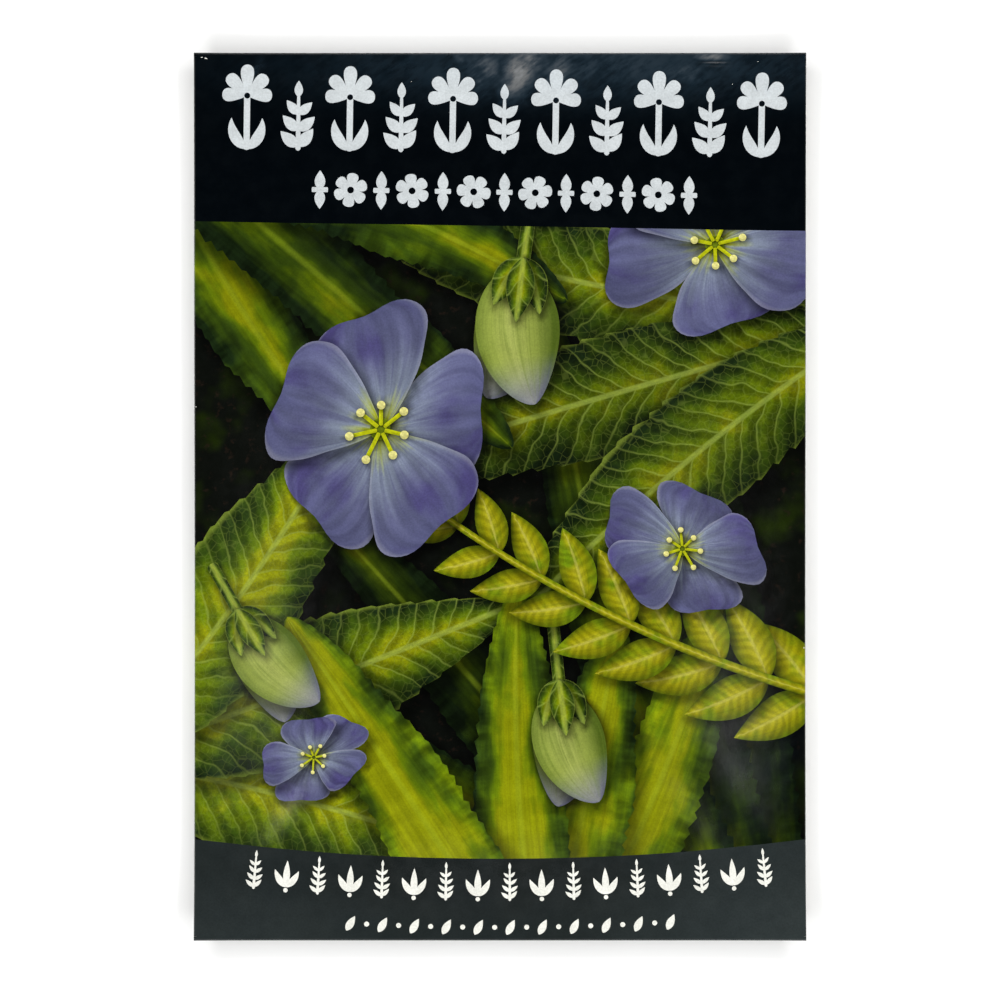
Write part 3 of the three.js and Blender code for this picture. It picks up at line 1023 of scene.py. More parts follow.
# Where handling has dulled the varnish, and a haze of reflection is painted over the ink:
# x, y, heading in degrees, half length and half width in mm, strength.
DULLED_SHEEN_PATCHES = [
    (12, 58.2, 0, 38, 5.0, 0.42),
    (2.4, 57.0, 62, 3.6, 2.3, 1.2),
    (3.8, 59.0, 80, 2.4, 2.4, 0.95),
    (-2.0, 57.4, 80, 3.6, 2.8, 0.7),
    (8.0, 57.6, 70, 3.4, 2.6, 0.68),
    (-5.5, 59.2, 30, 1.6, 0.8, 0.55),
    (28.6, 59.25, 0, 2.7, 0.62, 0.95),
    (25, 57.2, 0, 5, 2.2, 0.5),
    (-33.5, 56.5, 62, 3.4, 0.5, 0.4),
    (36, 54.6, -60, 1.2, 0.7, 0.4),
    (-38, -30, 90, 16, 3.6, 0.12),
    (34, -38, 60, 10, 6, 0.12),
]


def dulled_sheen(blank):
    """How dull the varnish is, from none to fully: also how strongly a haze of reflection is painted there.
    """
    s, t = blank.T
    dull_and_sheen = np.zeros(len(blank))
    for x, y, heading, half_length, half_width, strength in DULLED_SHEEN_PATCHES:
        along, beside = rotation(-heading) @ np.stack([s - x, t - y])
        patch = strength * np.exp(-((along / half_length) ** 2) - (beside / half_width) ** 2)
        dull_and_sheen = np.maximum(dull_and_sheen, patch)
    return dull_and_sheen


# Where the sheet's stretches lie in the square of its OFBake layout: left, low, right and high.
FRONT_PLOT = (0.004, 0.004, 0.694, 0.996)
BACK_PLOT = (0.702, 0.344, 0.93, 0.996)
INNER_PLOT = (0.938, 0.344, 0.996, 0.996)
LOW_FLAP_PLOT = (0.702, 0.176, 0.845, 0.334)
HIGH_FLAP_PLOT = (0.853, 0.176, 0.996, 0.334)
TAB_PLOT = (0.702, 0.004, 0.80, 0.166)
RIM_PLOT = (0.81, 0.004, 0.996, 0.166)
RIM_CELL = np.array([(0.1, 0.1), (0.1, 0.9), (0.9, 0.9), (0.9, 0.1)])


def plotted(places, low, high, plot):
    share = (places - low) / (np.array(high) - low)
    return np.array(plot[:2]) + share * (np.array(plot[2:]) - plot[:2])


def rim_places(count):
    """A small square of its own for each face of the rim."""
    across = math.ceil(math.sqrt(count))
    cells = np.stack([np.arange(count) % across, np.arange(count) // across], axis=-1)
    return plotted((cells[:, None] + RIM_CELL).reshape(-1, 2), (0, 0), (across, across), RIM_PLOT)


def painting_places(form, blank, triangles, rim_count):
    """A flat layout of the sheet in which nothing overlaps: printed side, inner side, then rim."""
    corners = blank[triangles.ravel()]
    regions = np.repeat(form.regions(*blank[triangles].mean(axis=1).T), 3)
    outer = plotted(corners, (form.left_end, form.low_end), (form.right_end, form.high_end), FRONT_PLOT)
    left, right = form.flap_side(form.left_fold, 0), form.flap_side(form.right_fold, 0)
    for region, low, high, plot in (
        (BACK, (form.back_edge, form.low_fold), (form.left_end, form.high_fold), BACK_PLOT),
        (TAB, (form.right_end, form.low_fold), (form.tab_edge, form.high_fold), TAB_PLOT),
        (LOW_FLAP, (left, form.low_tip), (right, form.low_end), LOW_FLAP_PLOT),
        (HIGH_FLAP, (left, form.high_end), (right, form.high_tip), HIGH_FLAP_PLOT),
    ):
        chosen = regions == region
        outer[chosen] = plotted(corners[chosen], low, high, plot)
    underside = blank[triangles[:, ::-1].ravel()]
    inner = plotted(underside, (form.back_edge, form.low_tip), (form.tab_edge, form.high_tip), INNER_PLOT)
    return np.vstack([outer, inner, rim_places(rim_count)])


def rim_edges(triangles):
    """The edges that only one triangle has."""
    edges = dict.fromkeys(edge for a, b, c in triangles.tolist() for edge in ((a, b), (b, c), (c, a)))
    return [(a, b) for a, b in edges if (b, a) not in edges]


def corner_normals(vertices, facing, triangles, rim_faces):
    """Directions that the faces' corners face: the bent paper's own on both sides, and flat along the rim."""
    flat = []
    for a, b, c, d in rim_faces:
        normal = np.cross(vertices[c] - vertices[a], vertices[d] - vertices[b])
        flat.extend([normal / max(np.linalg.norm(normal), 1e-12)] * 4)
    return np.vstack([facing[triangles.ravel()], -facing[triangles[:, ::-1].ravel()], flat])


def add_print_layers(mesh, coordinates):
    """Print coordinates as UV maps. The inner side and the rim, which come last, lie in full light."""
    for name, values in coordinates.items():
        full = np.zeros((len(mesh.loops), 2))
        full[: len(values)] = values
        if name == "Light":
            full[len(values):, 0] = 1
        mesh.uv_layers.new(name=name).data.foreach_set("uv", full.ravel())


def make_sheet_mesh(form, step):
    """The folded sheet as one closed mesh: its printed side, its inner side, then the rim between them."""
    parts = artwork(form)
    blank, triangles, shown_parts = triangulated(form, parts, step)
    places, facing = form.folded(blank)
    half = form.paper / 2
    vertices = np.vstack([places + facing * half, places - facing * half]) * MM
    count = len(blank)
    inner = triangles[:, ::-1] + count
    rim_faces = [(a, a + count, b + count, b) for a, b in rim_edges(triangles)]
    faces = [*triangles.tolist(), *inner.tolist(), *rim_faces]

    mesh = bpy.data.meshes.new("packet_sheet")
    mesh.from_pydata(vertices.tolist(), [], faces)
    inks = [parts[i].ink for i in shown_parts] + [BARE] * len(inner) + [CUT_EDGE] * len(rim_faces)
    mesh.polygons.foreach_set("material_index", inks)
    mesh.polygons.foreach_set("use_smooth", [True] * len(faces))
    add_print_layers(mesh, print_coordinates(blank, triangles, shown_parts, parts))
    painted = mesh.uv_layers.new(name="OFBake")
    painted.data.foreach_set("uv", painting_places(form, blank, triangles, len(rim_faces)).ravel())
    # How worn the print is, and where the varnish is dulled and a haze of reflection is painted.
    for name, values in (("wear", wear_of(form, blank)), ("dulled_sheen", dulled_sheen(blank))):
        layer = mesh.attributes.new(name, "FLOAT", "POINT")
        layer.data.foreach_set("value", np.concatenate([values, values * 0]))
    mesh.normals_split_custom_set(corner_normals(vertices, facing, triangles, rim_faces).tolist())
    print("sheet:", len(vertices), "points", len(faces), "faces", len(parts), "printed parts")
    return mesh


# Materials.

# Lesser shades of the print, which tint its main colours.
# The lighter slate of the footer's painted sheen.
FOOTER_PAINTED_SHEEN = shown(52, 59, 59)
FOOTER_CLOUD = shown(33, 40, 42)
EARTH = shown(38, 27, 20)
LEAF_LIME = shown(102, 122, 8)
LEAF_VEIN = shown(168, 188, 84)
LEAF_RIM = shown(150, 170, 60)
STRAP_LIME = shown(98, 120, 8)
STRAP_RIB = shown(150, 172, 40)
SPRIG_HEART = shown(184, 178, 40)
SPRIG_MARGIN = shown(92, 104, 8)
SPRIG_CLOUD = shown(112, 140, 14)
SPRIG_STREAK = shown(92, 108, 10)
SPRIG_RIB = shown(196, 190, 90)
THROAT = shown(160, 168, 30)
ROUND_THROAT = shown(160, 170, 128)
PETAL_END = shown(86, 88, 126)
PETAL_HAIRLINE = shown(56, 54, 96)
PETAL_VEIN = shown(70, 68, 112)
PETAL_RIM = shown(164, 166, 180)
EYE_MIDDLE = shown(104, 122, 18)
STAMEN_TIP = shown(232, 226, 140)
BUD_HEART = shown(170, 180, 92)
BUD_MARGIN = shown(84, 104, 30)
BUD_TIP = shown(122, 116, 158)
BUD_HAIRLINE = shown(84, 104, 34)
BUD_VEIN = shown(112, 130, 48)

# The varnish: its gloss, and the haze of reflection painted where it is rubbed a little and where it is
# rubbed most.
GLOSS_ROUGHNESS = 0.2
THIN_PAINTED_HAZE = shown(112, 164, 200)
THICK_PAINTED_HAZE = shown(222, 226, 228)

GLUE_COLOUR = shown(232, 224, 196)
SEED_DARK = shown(74, 42, 22)
SEED_TAN = shown(122, 74, 40)
SEED_LIGHT = shown(150, 98, 58)
SEED_SPECKLE = shown(58, 32, 18)
SEED_SCAR = shown(216, 200, 170)

# Kinds of a node group's sockets.
COLOUR, VECTOR, VALUE = "NodeSocketColor", "NodeSocketVector", "NodeSocketFloat"

# Sockets of a Mix node that mixes colours.
MIX_SHARE, MIX_FIRST, MIX_SECOND, MIX_RESULT = 0, 6, 7, 2


def darker(colour, share):
    return tuple(share * channel for channel in colour)


class Nodes:
    """Adds and joins the nodes of one tree."""

    def __init__(self, tree):
        self.tree = tree

    def add(self, kind, values=None, **settings):
        """A new node, with its settings and with the values or the links of its inputs."""
        node = self.tree.nodes.new(kind)
        for name, value in settings.items():
            setattr(node, name, value)
        for name, value in (values or {}).items():
            self.give(node.inputs[name], value)
        return node

    def give(self, socket, value):
        if isinstance(value, bpy.types.NodeSocket):
            self.tree.links.new(value, socket)
        elif socket.type == "RGBA" and len(value) == 3:
            socket.default_value = (*value, 1)
        else:
            socket.default_value = value

    def math(self, operation, a, b=0.5, clamp=False):
        return self.add("ShaderNodeMath", {0: a, 1: b}, operation=operation, use_clamp=clamp).outputs[0]

    def plus(self, a, b):
        return self.math("ADD", a, b)

    def minus(self, a, b, clamp=False):
        return self.math("SUBTRACT", a, b, clamp)

    def times(self, a, b):
        return self.math("MULTIPLY", a, b)

    def larger(self, a, b):
        return self.math("MAXIMUM", a, b)

    def size(self, value):
        """A value without its sign."""
        return self.math("ABSOLUTE", value)

    def weighed(self, *pairs):
        """The sum of some values, each times its weight."""
        total, *others = [self.times(value, weight) for value, weight in pairs]
        for other in others:
            total = self.plus(total, other)
        return total

    def range(self, value, low, high, to_low=0.0, to_high=1.0):
        names = {"Value": value, "From Min": low, "From Max": high, "To Min": to_low, "To Max": to_high}
        return self.add("ShaderNodeMapRange", names, interpolation_type="SMOOTHSTEP").outputs[0]

    def noise(self, vector, scale, detail=2.0, roughness=0.5):
        values = {"Vector": vector, "Scale": scale, "Detail": detail, "Roughness": roughness}
        return self.add("ShaderNodeTexNoise", values).outputs["Fac"]

    def mix(self, share, first, second):
        values = {MIX_SHARE: share, MIX_FIRST: first, MIX_SECOND: second}
        return self.add("ShaderNodeMix", values, data_type="RGBA").outputs[MIX_RESULT]

    def tinted(self, body, mask, strength, colour):
        """A colour with another laid over it where a mask says, and as strongly as given."""
        return self.mix(self.times(mask, strength), body, colour)

    def lit(self, colour, level):
        """A colour made lighter or darker by a factor."""
        return self.add("ShaderNodeVectorMath", {0: colour, "Scale": level}, operation="SCALE").outputs[0]

    def varied(self, colour, value, low, high, at_low, at_high):
        """A colour made lighter or darker, as a value goes from low to high."""
        return self.lit(colour, self.range(value, low, high, at_low, at_high))

    def ramp(self, value, stops):
        """A colour between the stops, each given by its place and its colour."""
        node = self.add("ShaderNodeValToRGB", {0: value})
        elements = node.color_ramp.elements
        for _ in stops[2:]:
            elements.new(0.5)
        for element, (place, colour) in zip(elements, stops):
            element.position = place
            element.color = (*colour, 1)
        return node.outputs[0]

    def moved(self, vector, by):
        return self.add("ShaderNodeVectorMath", {0: vector, 1: by}).outputs[0]

    def stretched(self, vector, x, y):
        return self.add("ShaderNodeVectorMath", {0: vector, 1: (x, y, 1.0)}, operation="MULTIPLY").outputs[0]

    def turned(self, vector, angle):
        values = {"Vector": vector, "Angle": angle}
        return self.add("ShaderNodeVectorRotate", values, rotation_type="Z_AXIS").outputs[0]

    def parts(self, vector):
        return self.add("ShaderNodeSeparateXYZ", {0: vector}).outputs[:]

    def joined(self, x, y, z=0.0):
        return self.add("ShaderNodeCombineXYZ", {0: x, 1: y, 2: z}).outputs[0]

    def uv(self, name):
        return self.add("ShaderNodeUVMap", uv_map=name).outputs[0]

    def attribute(self, name):
        return self.add("ShaderNodeAttribute", attribute_name=name).outputs["Fac"]

    def group(self, tree, values):
        return self.add("ShaderNodeGroup", values, node_tree=tree).outputs

    def bump(self, height, strength, distance):
        values = {"Height": height, "Strength": strength, "Distance": distance}
        return self.add("ShaderNodeBump", values).outputs[0]

    def surface(self, values):
        """Makes the material's surface, with the given values of its shader."""
        shader = self.add("ShaderNodeBsdfPrincipled", values)
        self.add("ShaderNodeOutputMaterial", {"Surface": shader.outputs[0]})


def new_material(name):
    """A material without a surface yet, its nodes, and the places that its textures are laid by."""
    material = bpy.data.materials.new(name)
    material.use_nodes = True
    material.node_tree.nodes.clear()
    nodes = Nodes(material.node_tree)
    return material, nodes, nodes.add("ShaderNodeTexCoord").outputs["Object"]


def new_group(name, inputs, outputs):
    """A shader node group with named sockets. An input is given by its kind, or by its first number."""
    group = bpy.data.node_groups.new(name, "ShaderNodeTree")
    for socket, start in inputs.items():
        is_number = isinstance(start, float)
        made = group.interface.new_socket(socket, in_out="INPUT", socket_type=VALUE if is_number else start)
        if is_number:
            made.default_value = start
    for socket, kind in outputs.items():
        group.interface.new_socket(socket, in_out="OUTPUT", socket_type=kind)
    nodes = Nodes(group)
    return nodes, nodes.add("NodeGroupInput").outputs, nodes.add("NodeGroupOutput").inputs


def worn_fibres(nodes, place, wear):
    """A mask of the white fibres that show where the print is worn."""
    fibres = nodes.noise(place, 2600, 4, 0.7)
    patches = nodes.noise(place, 190, 2, 0.5)
    torn = nodes.weighed((fibres, 0.45), (patches, 0.55))
    edge = nodes.minus(1.02, nodes.times(wear, 0.62))
    return nodes.range(torn, edge, nodes.plus(edge, 0.08))


def dulled_sheen_strokes(nodes, place, dulled_sheen):
    """How dull the varnish is, and how strong its painted haze of reflection, in slanting strokes and clouds.
    """
    strokes = nodes.noise(nodes.stretched(nodes.turned(place, -0.6), 420, 1500), 1.0, 4, 0.65)
    clouds = nodes.noise(place, 260, 3, 0.6)
    broken = nodes.weighed((strokes, 0.5), (clouds, 0.5))
    return nodes.times(dulled_sheen, nodes.range(broken, 0.34, 0.6, 0.5, 1.0))


def printed_paper_group(colours):
    """Ink on coated paper: its light and shade, its mottle, rubbed patches with a painted reflection, worn
    white fibres.
    """
    inputs = {"Ink": COLOUR, "Light": VECTOR, "Wear": 0.0, "Dulled sheen": 0.0, "Place": VECTOR,
              "Gloss roughness": GLOSS_ROUGHNESS}
    outputs = {"Color": COLOUR, "Roughness": VALUE, "Height": VALUE}
    nodes, given, out = new_group("Printed paper", inputs, outputs)
    place = given["Place"]
    mottle = nodes.noise(place, 420, 3, 0.6)
    speckle = nodes.noise(place, 4200, 2, 0.6)
    light = nodes.times(nodes.parts(given["Light"])[0], nodes.range(mottle, 0.2, 0.8, 0.68, 0.8))
    inked = nodes.varied(nodes.lit(given["Ink"], light), speckle, 0.25, 0.75, 0.9, 1.1)
    worn = worn_fibres(nodes, place, given["Wear"])
    dull_and_sheen = dulled_sheen_strokes(nodes, place, given["Dulled sheen"])
    # A pale, bluish haze of reflection painted over the ink where the varnish is rubbed.
    painted_haze = nodes.mix(nodes.range(dull_and_sheen, 0.25, 0.9), THIN_PAINTED_HAZE, THICK_PAINTED_HAZE)
    with_painted_haze = nodes.tinted(inked, nodes.math("POWER", dull_and_sheen, 1.5), 0.185, painted_haze)
    nodes.give(out["Color"], nodes.mix(worn, with_painted_haze, colours.paper))
    rough = nodes.plus(given["Gloss roughness"], nodes.range(mottle, 0.3, 0.7, -0.02, 0.03))
    nodes.give(out["Roughness"], nodes.plus(rough, nodes.times(nodes.larger(worn, dull_and_sheen), 0.35)))
    tooth = nodes.noise(place, 1500, 3, 0.6)
    waves = nodes.noise(place, 170, 2, 0.5)
    nodes.give(out["Height"], nodes.weighed((tooth, 0.2), (waves, 0.9), (worn, -0.5)))
    return nodes.tree


def veins_group():
    """A leaf's rib, its paired side veins, and how the blade swells between them."""
    inputs = {"Grain": VECTOR, "Spacing": 0.3, "Slant": 0.8}
    nodes, given, out = new_group("Leaf veins", inputs, {"Veins": VALUE, "Swell": VALUE})
    along, across, _ = nodes.parts(given["Grain"])
    aside = nodes.size(across)
    wobble = nodes.times(nodes.noise(given["Grain"], 2.2, 2), 0.3)
    curved = nodes.times(nodes.math("POWER", aside, 0.8), given["Slant"])
    run = nodes.minus(nodes.plus(along, wobble), curved)
    stagger = nodes.times(nodes.math("GREATER_THAN", across, 0.0), 0.4)
    turn = nodes.math("FRACT", nodes.plus(nodes.math("DIVIDE", run, given["Spacing"]), stagger))
    from_vein = nodes.size(nodes.minus(turn, 0.5))
    side_veins = nodes.times(nodes.range(from_vein, 0.09, 0.0), nodes.range(aside, 0.95, 0.1, 0.25, 0.75))
    rib = nodes.range(aside, 0.05, 0.02)
    cells = {"Vector": given["Grain"], "Scale": 9.0}
    from_cell_edge = nodes.add("ShaderNodeTexVoronoi", cells, feature="DISTANCE_TO_EDGE").outputs["Distance"]
    net = nodes.times(nodes.range(from_cell_edge, 0.07, 0.0), 0.22)
    nodes.give(out["Veins"], nodes.larger(nodes.larger(side_veins, net), rib))
    nodes.give(out["Swell"], nodes.math("SINE", nodes.times(turn, math.tau)))
    return nodes.tree


def streaks_group():
    """Fine lines that fan out along a petal, a bud or a leaf, as a mask."""
    inputs = {"Shape": VECTOR, "Count": 9.0, "Reach": 0.8}
    nodes, given, out = new_group("Fanned streaks", inputs, {"Streaks": VALUE})
    along, across, own = nodes.parts(given["Shape"])
    place = nodes.joined(nodes.times(along, 1.6), nodes.times(across, given["Count"]), own)
    lines = nodes.range(nodes.noise(place, 1.0, 2, 0.6), 0.48, 0.68)
    fade = nodes.range(along, given["Reach"], 0.12)
    nodes.give(out["Streaks"], nodes.times(lines, fade))
    return nodes.tree


class Ink:
    """Where an ink lies within its printed shape, and how the inks that vary there are coloured.

    The shape is in shares of the way along and across it, and the grain is in centimetres. Their third
    part and the tone tell one printed shape from the next.
    """

    def __init__(self, nodes, colours, groups):
        self.nodes = nodes
        self.colours = colours
        self.groups = groups
        self.light = nodes.uv("Light")
        self.tone = nodes.parts(self.light)[1]
        own = nodes.joined(0.0, 0.0, nodes.times(self.tone, 13.0))
        self.shape, self.grain = [nodes.moved(nodes.uv(layer), own) for layer in ("Shape", "Grain")]

    def streaks(self, count, reach):
        values = {"Shape": self.shape, "Count": count, "Reach": reach}
        return self.nodes.group(self.groups["streaks"], values)[0]

    def veins(self, spacing, slant):
        values = {"Grain": self.grain, "Spacing": spacing, "Slant": slant}
        return self.nodes.group(self.groups["veins"], values)

    def footer(self):
        """Slate with a painted sheen: lighter towards the foot and the sides, and most on the right."""
        nodes = self.nodes
        across, along, _ = nodes.parts(self.grain)
        # A painted sheen: the slate turns lighter towards the foot, the sides and the right.
        to_foot = nodes.range(along, -4.9, -5.9, 0.0, 0.36)
        to_sides = nodes.range(nodes.size(across), 0.8, 3.6, 0.0, 0.33)
        to_right = nodes.range(across, 0.5, 3.8, 0.0, 0.35)
        painted_sheen = nodes.plus(nodes.plus(to_foot, to_sides), to_right)
        body = nodes.mix(painted_sheen, self.colours.footer, FOOTER_PAINTED_SHEEN)
        clouds = nodes.range(nodes.noise(self.grain, 1.1, 3, 0.6), 0.35, 0.65)
        return nodes.tinted(body, clouds, 0.3, FOOTER_CLOUD)

    def ground(self):
        """Dark earth under the leaves, with crumbs of soil and mossy blotches."""
        nodes = self.nodes
        blotch = nodes.noise(self.grain, 0.9, 3, 0.6)
        mossy = darker(self.colours.leaf_middle, 0.3)
        base = nodes.mix(nodes.range(blotch, 0.5, 0.72), self.colours.ground, mossy)
        crumbs = nodes.noise(self.grain, 7, 3, 0.65)
        return nodes.tinted(base, nodes.range(crumbs, 0.56, 0.7), 0.6, EARTH)

    def from_rib(self, aside, cloud, sway, lean):
        """How far from the rib a leaf's colour seems to lie: clouded, and nearer it in a lighter leaf."""
        place = self.nodes.plus(aside, self.nodes.range(cloud, 0.25, 0.75, -sway, sway))
        return self.nodes.minus(place, self.nodes.times(self.tone, lean), clamp=True)

    def leaf(self):
        """A broad leaf: lime along its rib, deep green at its margins, and swollen between its veins."""
        nodes, c = self.nodes, self.colours
        aside = nodes.size(nodes.parts(self.shape)[1])
        cloud = nodes.noise(self.grain, 1.5, 3, 0.6)
        stops = [(0.0, c.leaf_light), (0.28, LEAF_LIME), (0.6, c.leaf_middle), (1.0, c.leaf_deep)]
        body = nodes.ramp(self.from_rib(aside, cloud, 0.34, 0.24), stops)
        veins = self.veins(0.3, 0.8)
        body = nodes.varied(body, veins["Swell"], -1.0, 1.0, 0.72, 1.2)
        fine = nodes.noise(self.grain, 24, 3, 0.65)
        body = nodes.varied(body, fine, 0.25, 0.75, 0.78, 1.18)
        body = nodes.varied(body, self.tone, -0.8, 0.5, 0.5, 1.05)
        body = nodes.tinted(body, veins["Veins"], 0.42, LEAF_VEIN)
        return nodes.mix(nodes.range(aside, 0.9, 1.0, 0.0, 0.35), body, LEAF_RIM)

    def strap(self):
        """A long leaf with a crinkled margin, glowing through its middle."""
        nodes, c = self.nodes, self.colours
        _, across, own = nodes.parts(self.shape)
        length = nodes.parts(self.grain)[0]
        lengthwise = nodes.joined(length, across, own)
        aside = nodes.size(across)
        cloud = nodes.noise(nodes.stretched(self.grain, 0.55, 1.3), 1.6, 3, 0.55)
        stops = [(0.0, c.leaf_light), (0.3, STRAP_LIME), (0.58, c.leaf_middle), (1.0, c.leaf_deep)]
        body = nodes.ramp(self.from_rib(aside, cloud, 0.42, 0.3), stops)
        lines = nodes.noise(nodes.stretched(lengthwise, 0.35, 7.0), 1.0, 3, 0.6)
        body = nodes.varied(body, lines, 0.3, 0.7, 0.78, 1.16)
        crinkle = nodes.noise(nodes.stretched(lengthwise, 5.5, 0.9), 1.0, 2, 0.6)
        rough = nodes.range(aside, 0.35, 1.0, 0.12, 1.0)
        body = nodes.mix(rough, body, nodes.varied(body, crinkle, 0.32, 0.68, 0.45, 1.55))
        body = nodes.varied(body, self.tone, -0.9, 0.5, 0.42, 1.05)
        return nodes.mix(nodes.range(aside, 0.1, 0.02, 0.0, 0.22), body, STRAP_RIB)

    def sprig(self):
        """A young leaf: yellow along its rib, and greener in clouds, in streaks and at its margins."""
        nodes = self.nodes
        aside = nodes.size(nodes.parts(self.shape)[1])
        body = nodes.ramp(aside, [(0.0, SPRIG_HEART), (0.4, self.colours.sprig), (1.0, SPRIG_MARGIN)])
        cloud = nodes.noise(self.grain, 3.0, 2, 0.5)
        body = nodes.mix(nodes.range(cloud, 0.45, 0.75), body, SPRIG_CLOUD)
        body = nodes.tinted(body, self.streaks(8.0, 1.5), 0.4, SPRIG_STREAK)
        body = nodes.varied(body, self.veins(0.13, 0.5)["Swell"], -1.0, 1.0, 0.84, 1.12)
        return nodes.mix(nodes.range(aside, 0.12, 0.03, 0.0, 0.45), body, SPRIG_RIB)

    def petal(self):
        """A veined petal: yellow-green in the throat, pale round it, violet-blue, and softly folded."""
        nodes, c, shape = self.nodes, self.colours, self.shape
        along, across, _ = nodes.parts(shape)
        fray = nodes.noise(nodes.stretched(shape, 0.0, 5.0), 1.0, 2)
        stops = [(0.06, THROAT), (0.17, ROUND_THROAT), (0.28, c.petal_pale), (0.62, c.petal),
                 (1.0, PETAL_END)]
        body = nodes.ramp(nodes.plus(along, nodes.range(fray, 0.3, 0.7, -0.07, 0.07)), stops)
        cloud = nodes.noise(nodes.stretched(shape, 1.0, 0.8), 2.2, 3, 0.5)
        deep = nodes.plus(cloud, nodes.times(across, nodes.times(self.tone, 0.3)))
        share = nodes.times(nodes.range(deep, 0.44, 0.72, 0.0, 0.8), nodes.range(along, 0.22, 0.75))
        body = nodes.mix(share, body, c.petal_deep)
        folds = nodes.noise(nodes.stretched(shape, 0.8, 2.1), 1.5, 2, 0.5)
        body = nodes.varied(body, folds, 0.3, 0.7, 0.76, 1.2)
        body = nodes.tinted(body, self.streaks(26.0, 1.25), 0.26, PETAL_HAIRLINE)
        body = nodes.tinted(body, self.streaks(8.0, 0.95), 0.4, PETAL_VEIN)
        rim = nodes.larger(nodes.range(nodes.size(across), 0.9, 1.0), nodes.range(along, 0.955, 1.0))
        return nodes.tinted(body, rim, 0.34, PETAL_RIM)

    def eye(self):
        """The green middle of a blossom, with yellow stamens, pale at their tips."""
        nodes = self.nodes
        pale = nodes.mix(nodes.range(self.tone, 0.2, 1.0), self.colours.eye, STAMEN_TIP)
        body = nodes.mix(nodes.range(self.tone, -0.2, -0.9), pale, EYE_MIDDLE)
        return nodes.varied(body, nodes.noise(self.grain, 20, 2), 0.3, 0.7, 0.8, 1.12)

    def bud(self):
        """A streaked green bud, violet at its tip."""
        nodes = self.nodes
        along, across, _ = nodes.parts(self.shape)
        aside = nodes.size(nodes.plus(across, 0.15))
        body = nodes.ramp(aside, [(0.0, BUD_HEART), (0.5, self.colours.bud), (1.0, BUD_MARGIN)])
        body = nodes.tinted(body, nodes.range(along, 0.62, 1.0), 0.7, BUD_TIP)
        body = nodes.tinted(body, self.streaks(22.0, 1.6), 0.3, BUD_HAIRLINE)
        body = nodes.tinted(body, self.streaks(8.0, 1.6), 0.5, BUD_VEIN)
        return nodes.varied(body, self.tone, -0.9, 0.2, 0.6, 1.0)


def flat(name):
    """An ink of one colour, by its name in the print's colours."""
    return lambda ink: getattr(ink.colours, name)


def printed_material(name, look, colours, groups):
    """A material for one ink of the print, given how its colour looks within its shape."""
    material, nodes, place = new_material(name)
    ink = Ink(nodes, colours, groups)
    paper = nodes.group(groups["paper"], {
        "Ink": look(ink),
        "Light": ink.light,
        "Wear": nodes.attribute("wear"),
        "Dulled sheen": nodes.attribute("dulled_sheen"),
        "Place": place,
    })
    nodes.surface({
        "Base Color": paper["Color"],
        "Roughness": paper["Roughness"],
        "Normal": nodes.bump(paper["Height"], 0.35, 0.0001),
        "IOR": 1.47,
        "Specular IOR Level": 0.37,
    })
    return material


def uncoated_material(name, colour, scale, roughness):
    """Bare paper or dry glue: a pale, slightly cloudy and grainy surface."""
    material, nodes, place = new_material(name)
    fibres = nodes.noise(place, scale, 5, 0.65)
    cloud = nodes.noise(place, scale / 12, 2, 0.5)
    body = nodes.mix(nodes.range(cloud, 0.3, 0.7), colour, darker(colour, 0.86))
    nodes.surface({
        "Base Color": nodes.tinted(body, nodes.range(fibres, 0.5, 0.75), 0.25, darker(colour, 0.7)),
        "Roughness": nodes.range(fibres, 0.2, 0.8, roughness - 0.08, roughness + 0.08),
        "Normal": nodes.bump(fibres, 0.3, 0.00005),
    })
    return material


def seed_material():
    """A smooth tan coat, darker in clouds, with a pale scar where the seed hung."""
    material, nodes, place = new_material("Seed coat")
    cloud = nodes.noise(place, 260, 3, 0.55)
    speckle = nodes.noise(place, 1900, 3, 0.7)
    body = nodes.ramp(cloud, [(0.3, SEED_DARK), (0.55, SEED_TAN), (0.75, SEED_LIGHT)])
    body = nodes.tinted(body, nodes.range(speckle, 0.55, 0.7), 0.35, SEED_SPECKLE)
    nodes.surface({
        "Base Color": nodes.mix(nodes.range(nodes.attribute("scar"), 0.45, 0.6), body, SEED_SCAR),
        "Roughness": nodes.range(cloud, 0.3, 0.7, 0.28, 0.4),
        "Normal": nodes.bump(speckle, 0.15, 0.0001),
    })
    return material


def sheet_materials(colours):
    """The sheet's materials, in the order of its inks: the printed ones, the bare paper and the cut edge."""
    groups = {"paper": printed_paper_group(colours), "veins": veins_group(), "streaks": streaks_group()}
    looks = {
        "Header ink": flat("header"),
        "Footer ink with painted sheen": Ink.footer,
        "Picture ground": Ink.ground,
        "Printed strap leaf": Ink.strap,
        "Printed leaf": Ink.leaf,
        "Printed sprig": Ink.sprig,
        "Printed petal": Ink.petal,
        "Printed eye": Ink.eye,
        "Printed bud": Ink.bud,
        "Pale ink": flat("pale_ink"),
        "Cream ink": flat("cream_ink"),
        "Back tint": flat("back"),
        "Back ink": flat("back_ink"),
    }
    made = [printed_material(name, look, colours, groups) for name, look in looks.items()]
    made.append(uncoated_material("Bare paper", colours.paper, 1200, 0.8))
    made.append(uncoated_material("Cut edge", colours.paper, 2400, 0.85))
    return made


# The pieces.

def add_piece(name, mesh, node):
    """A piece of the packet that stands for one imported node."""
    piece = bpy.data.objects.new(name, mesh)
    bpy.context.scene.collection.objects.link(piece)
    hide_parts(node)
    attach(piece, BODY)
    return piece


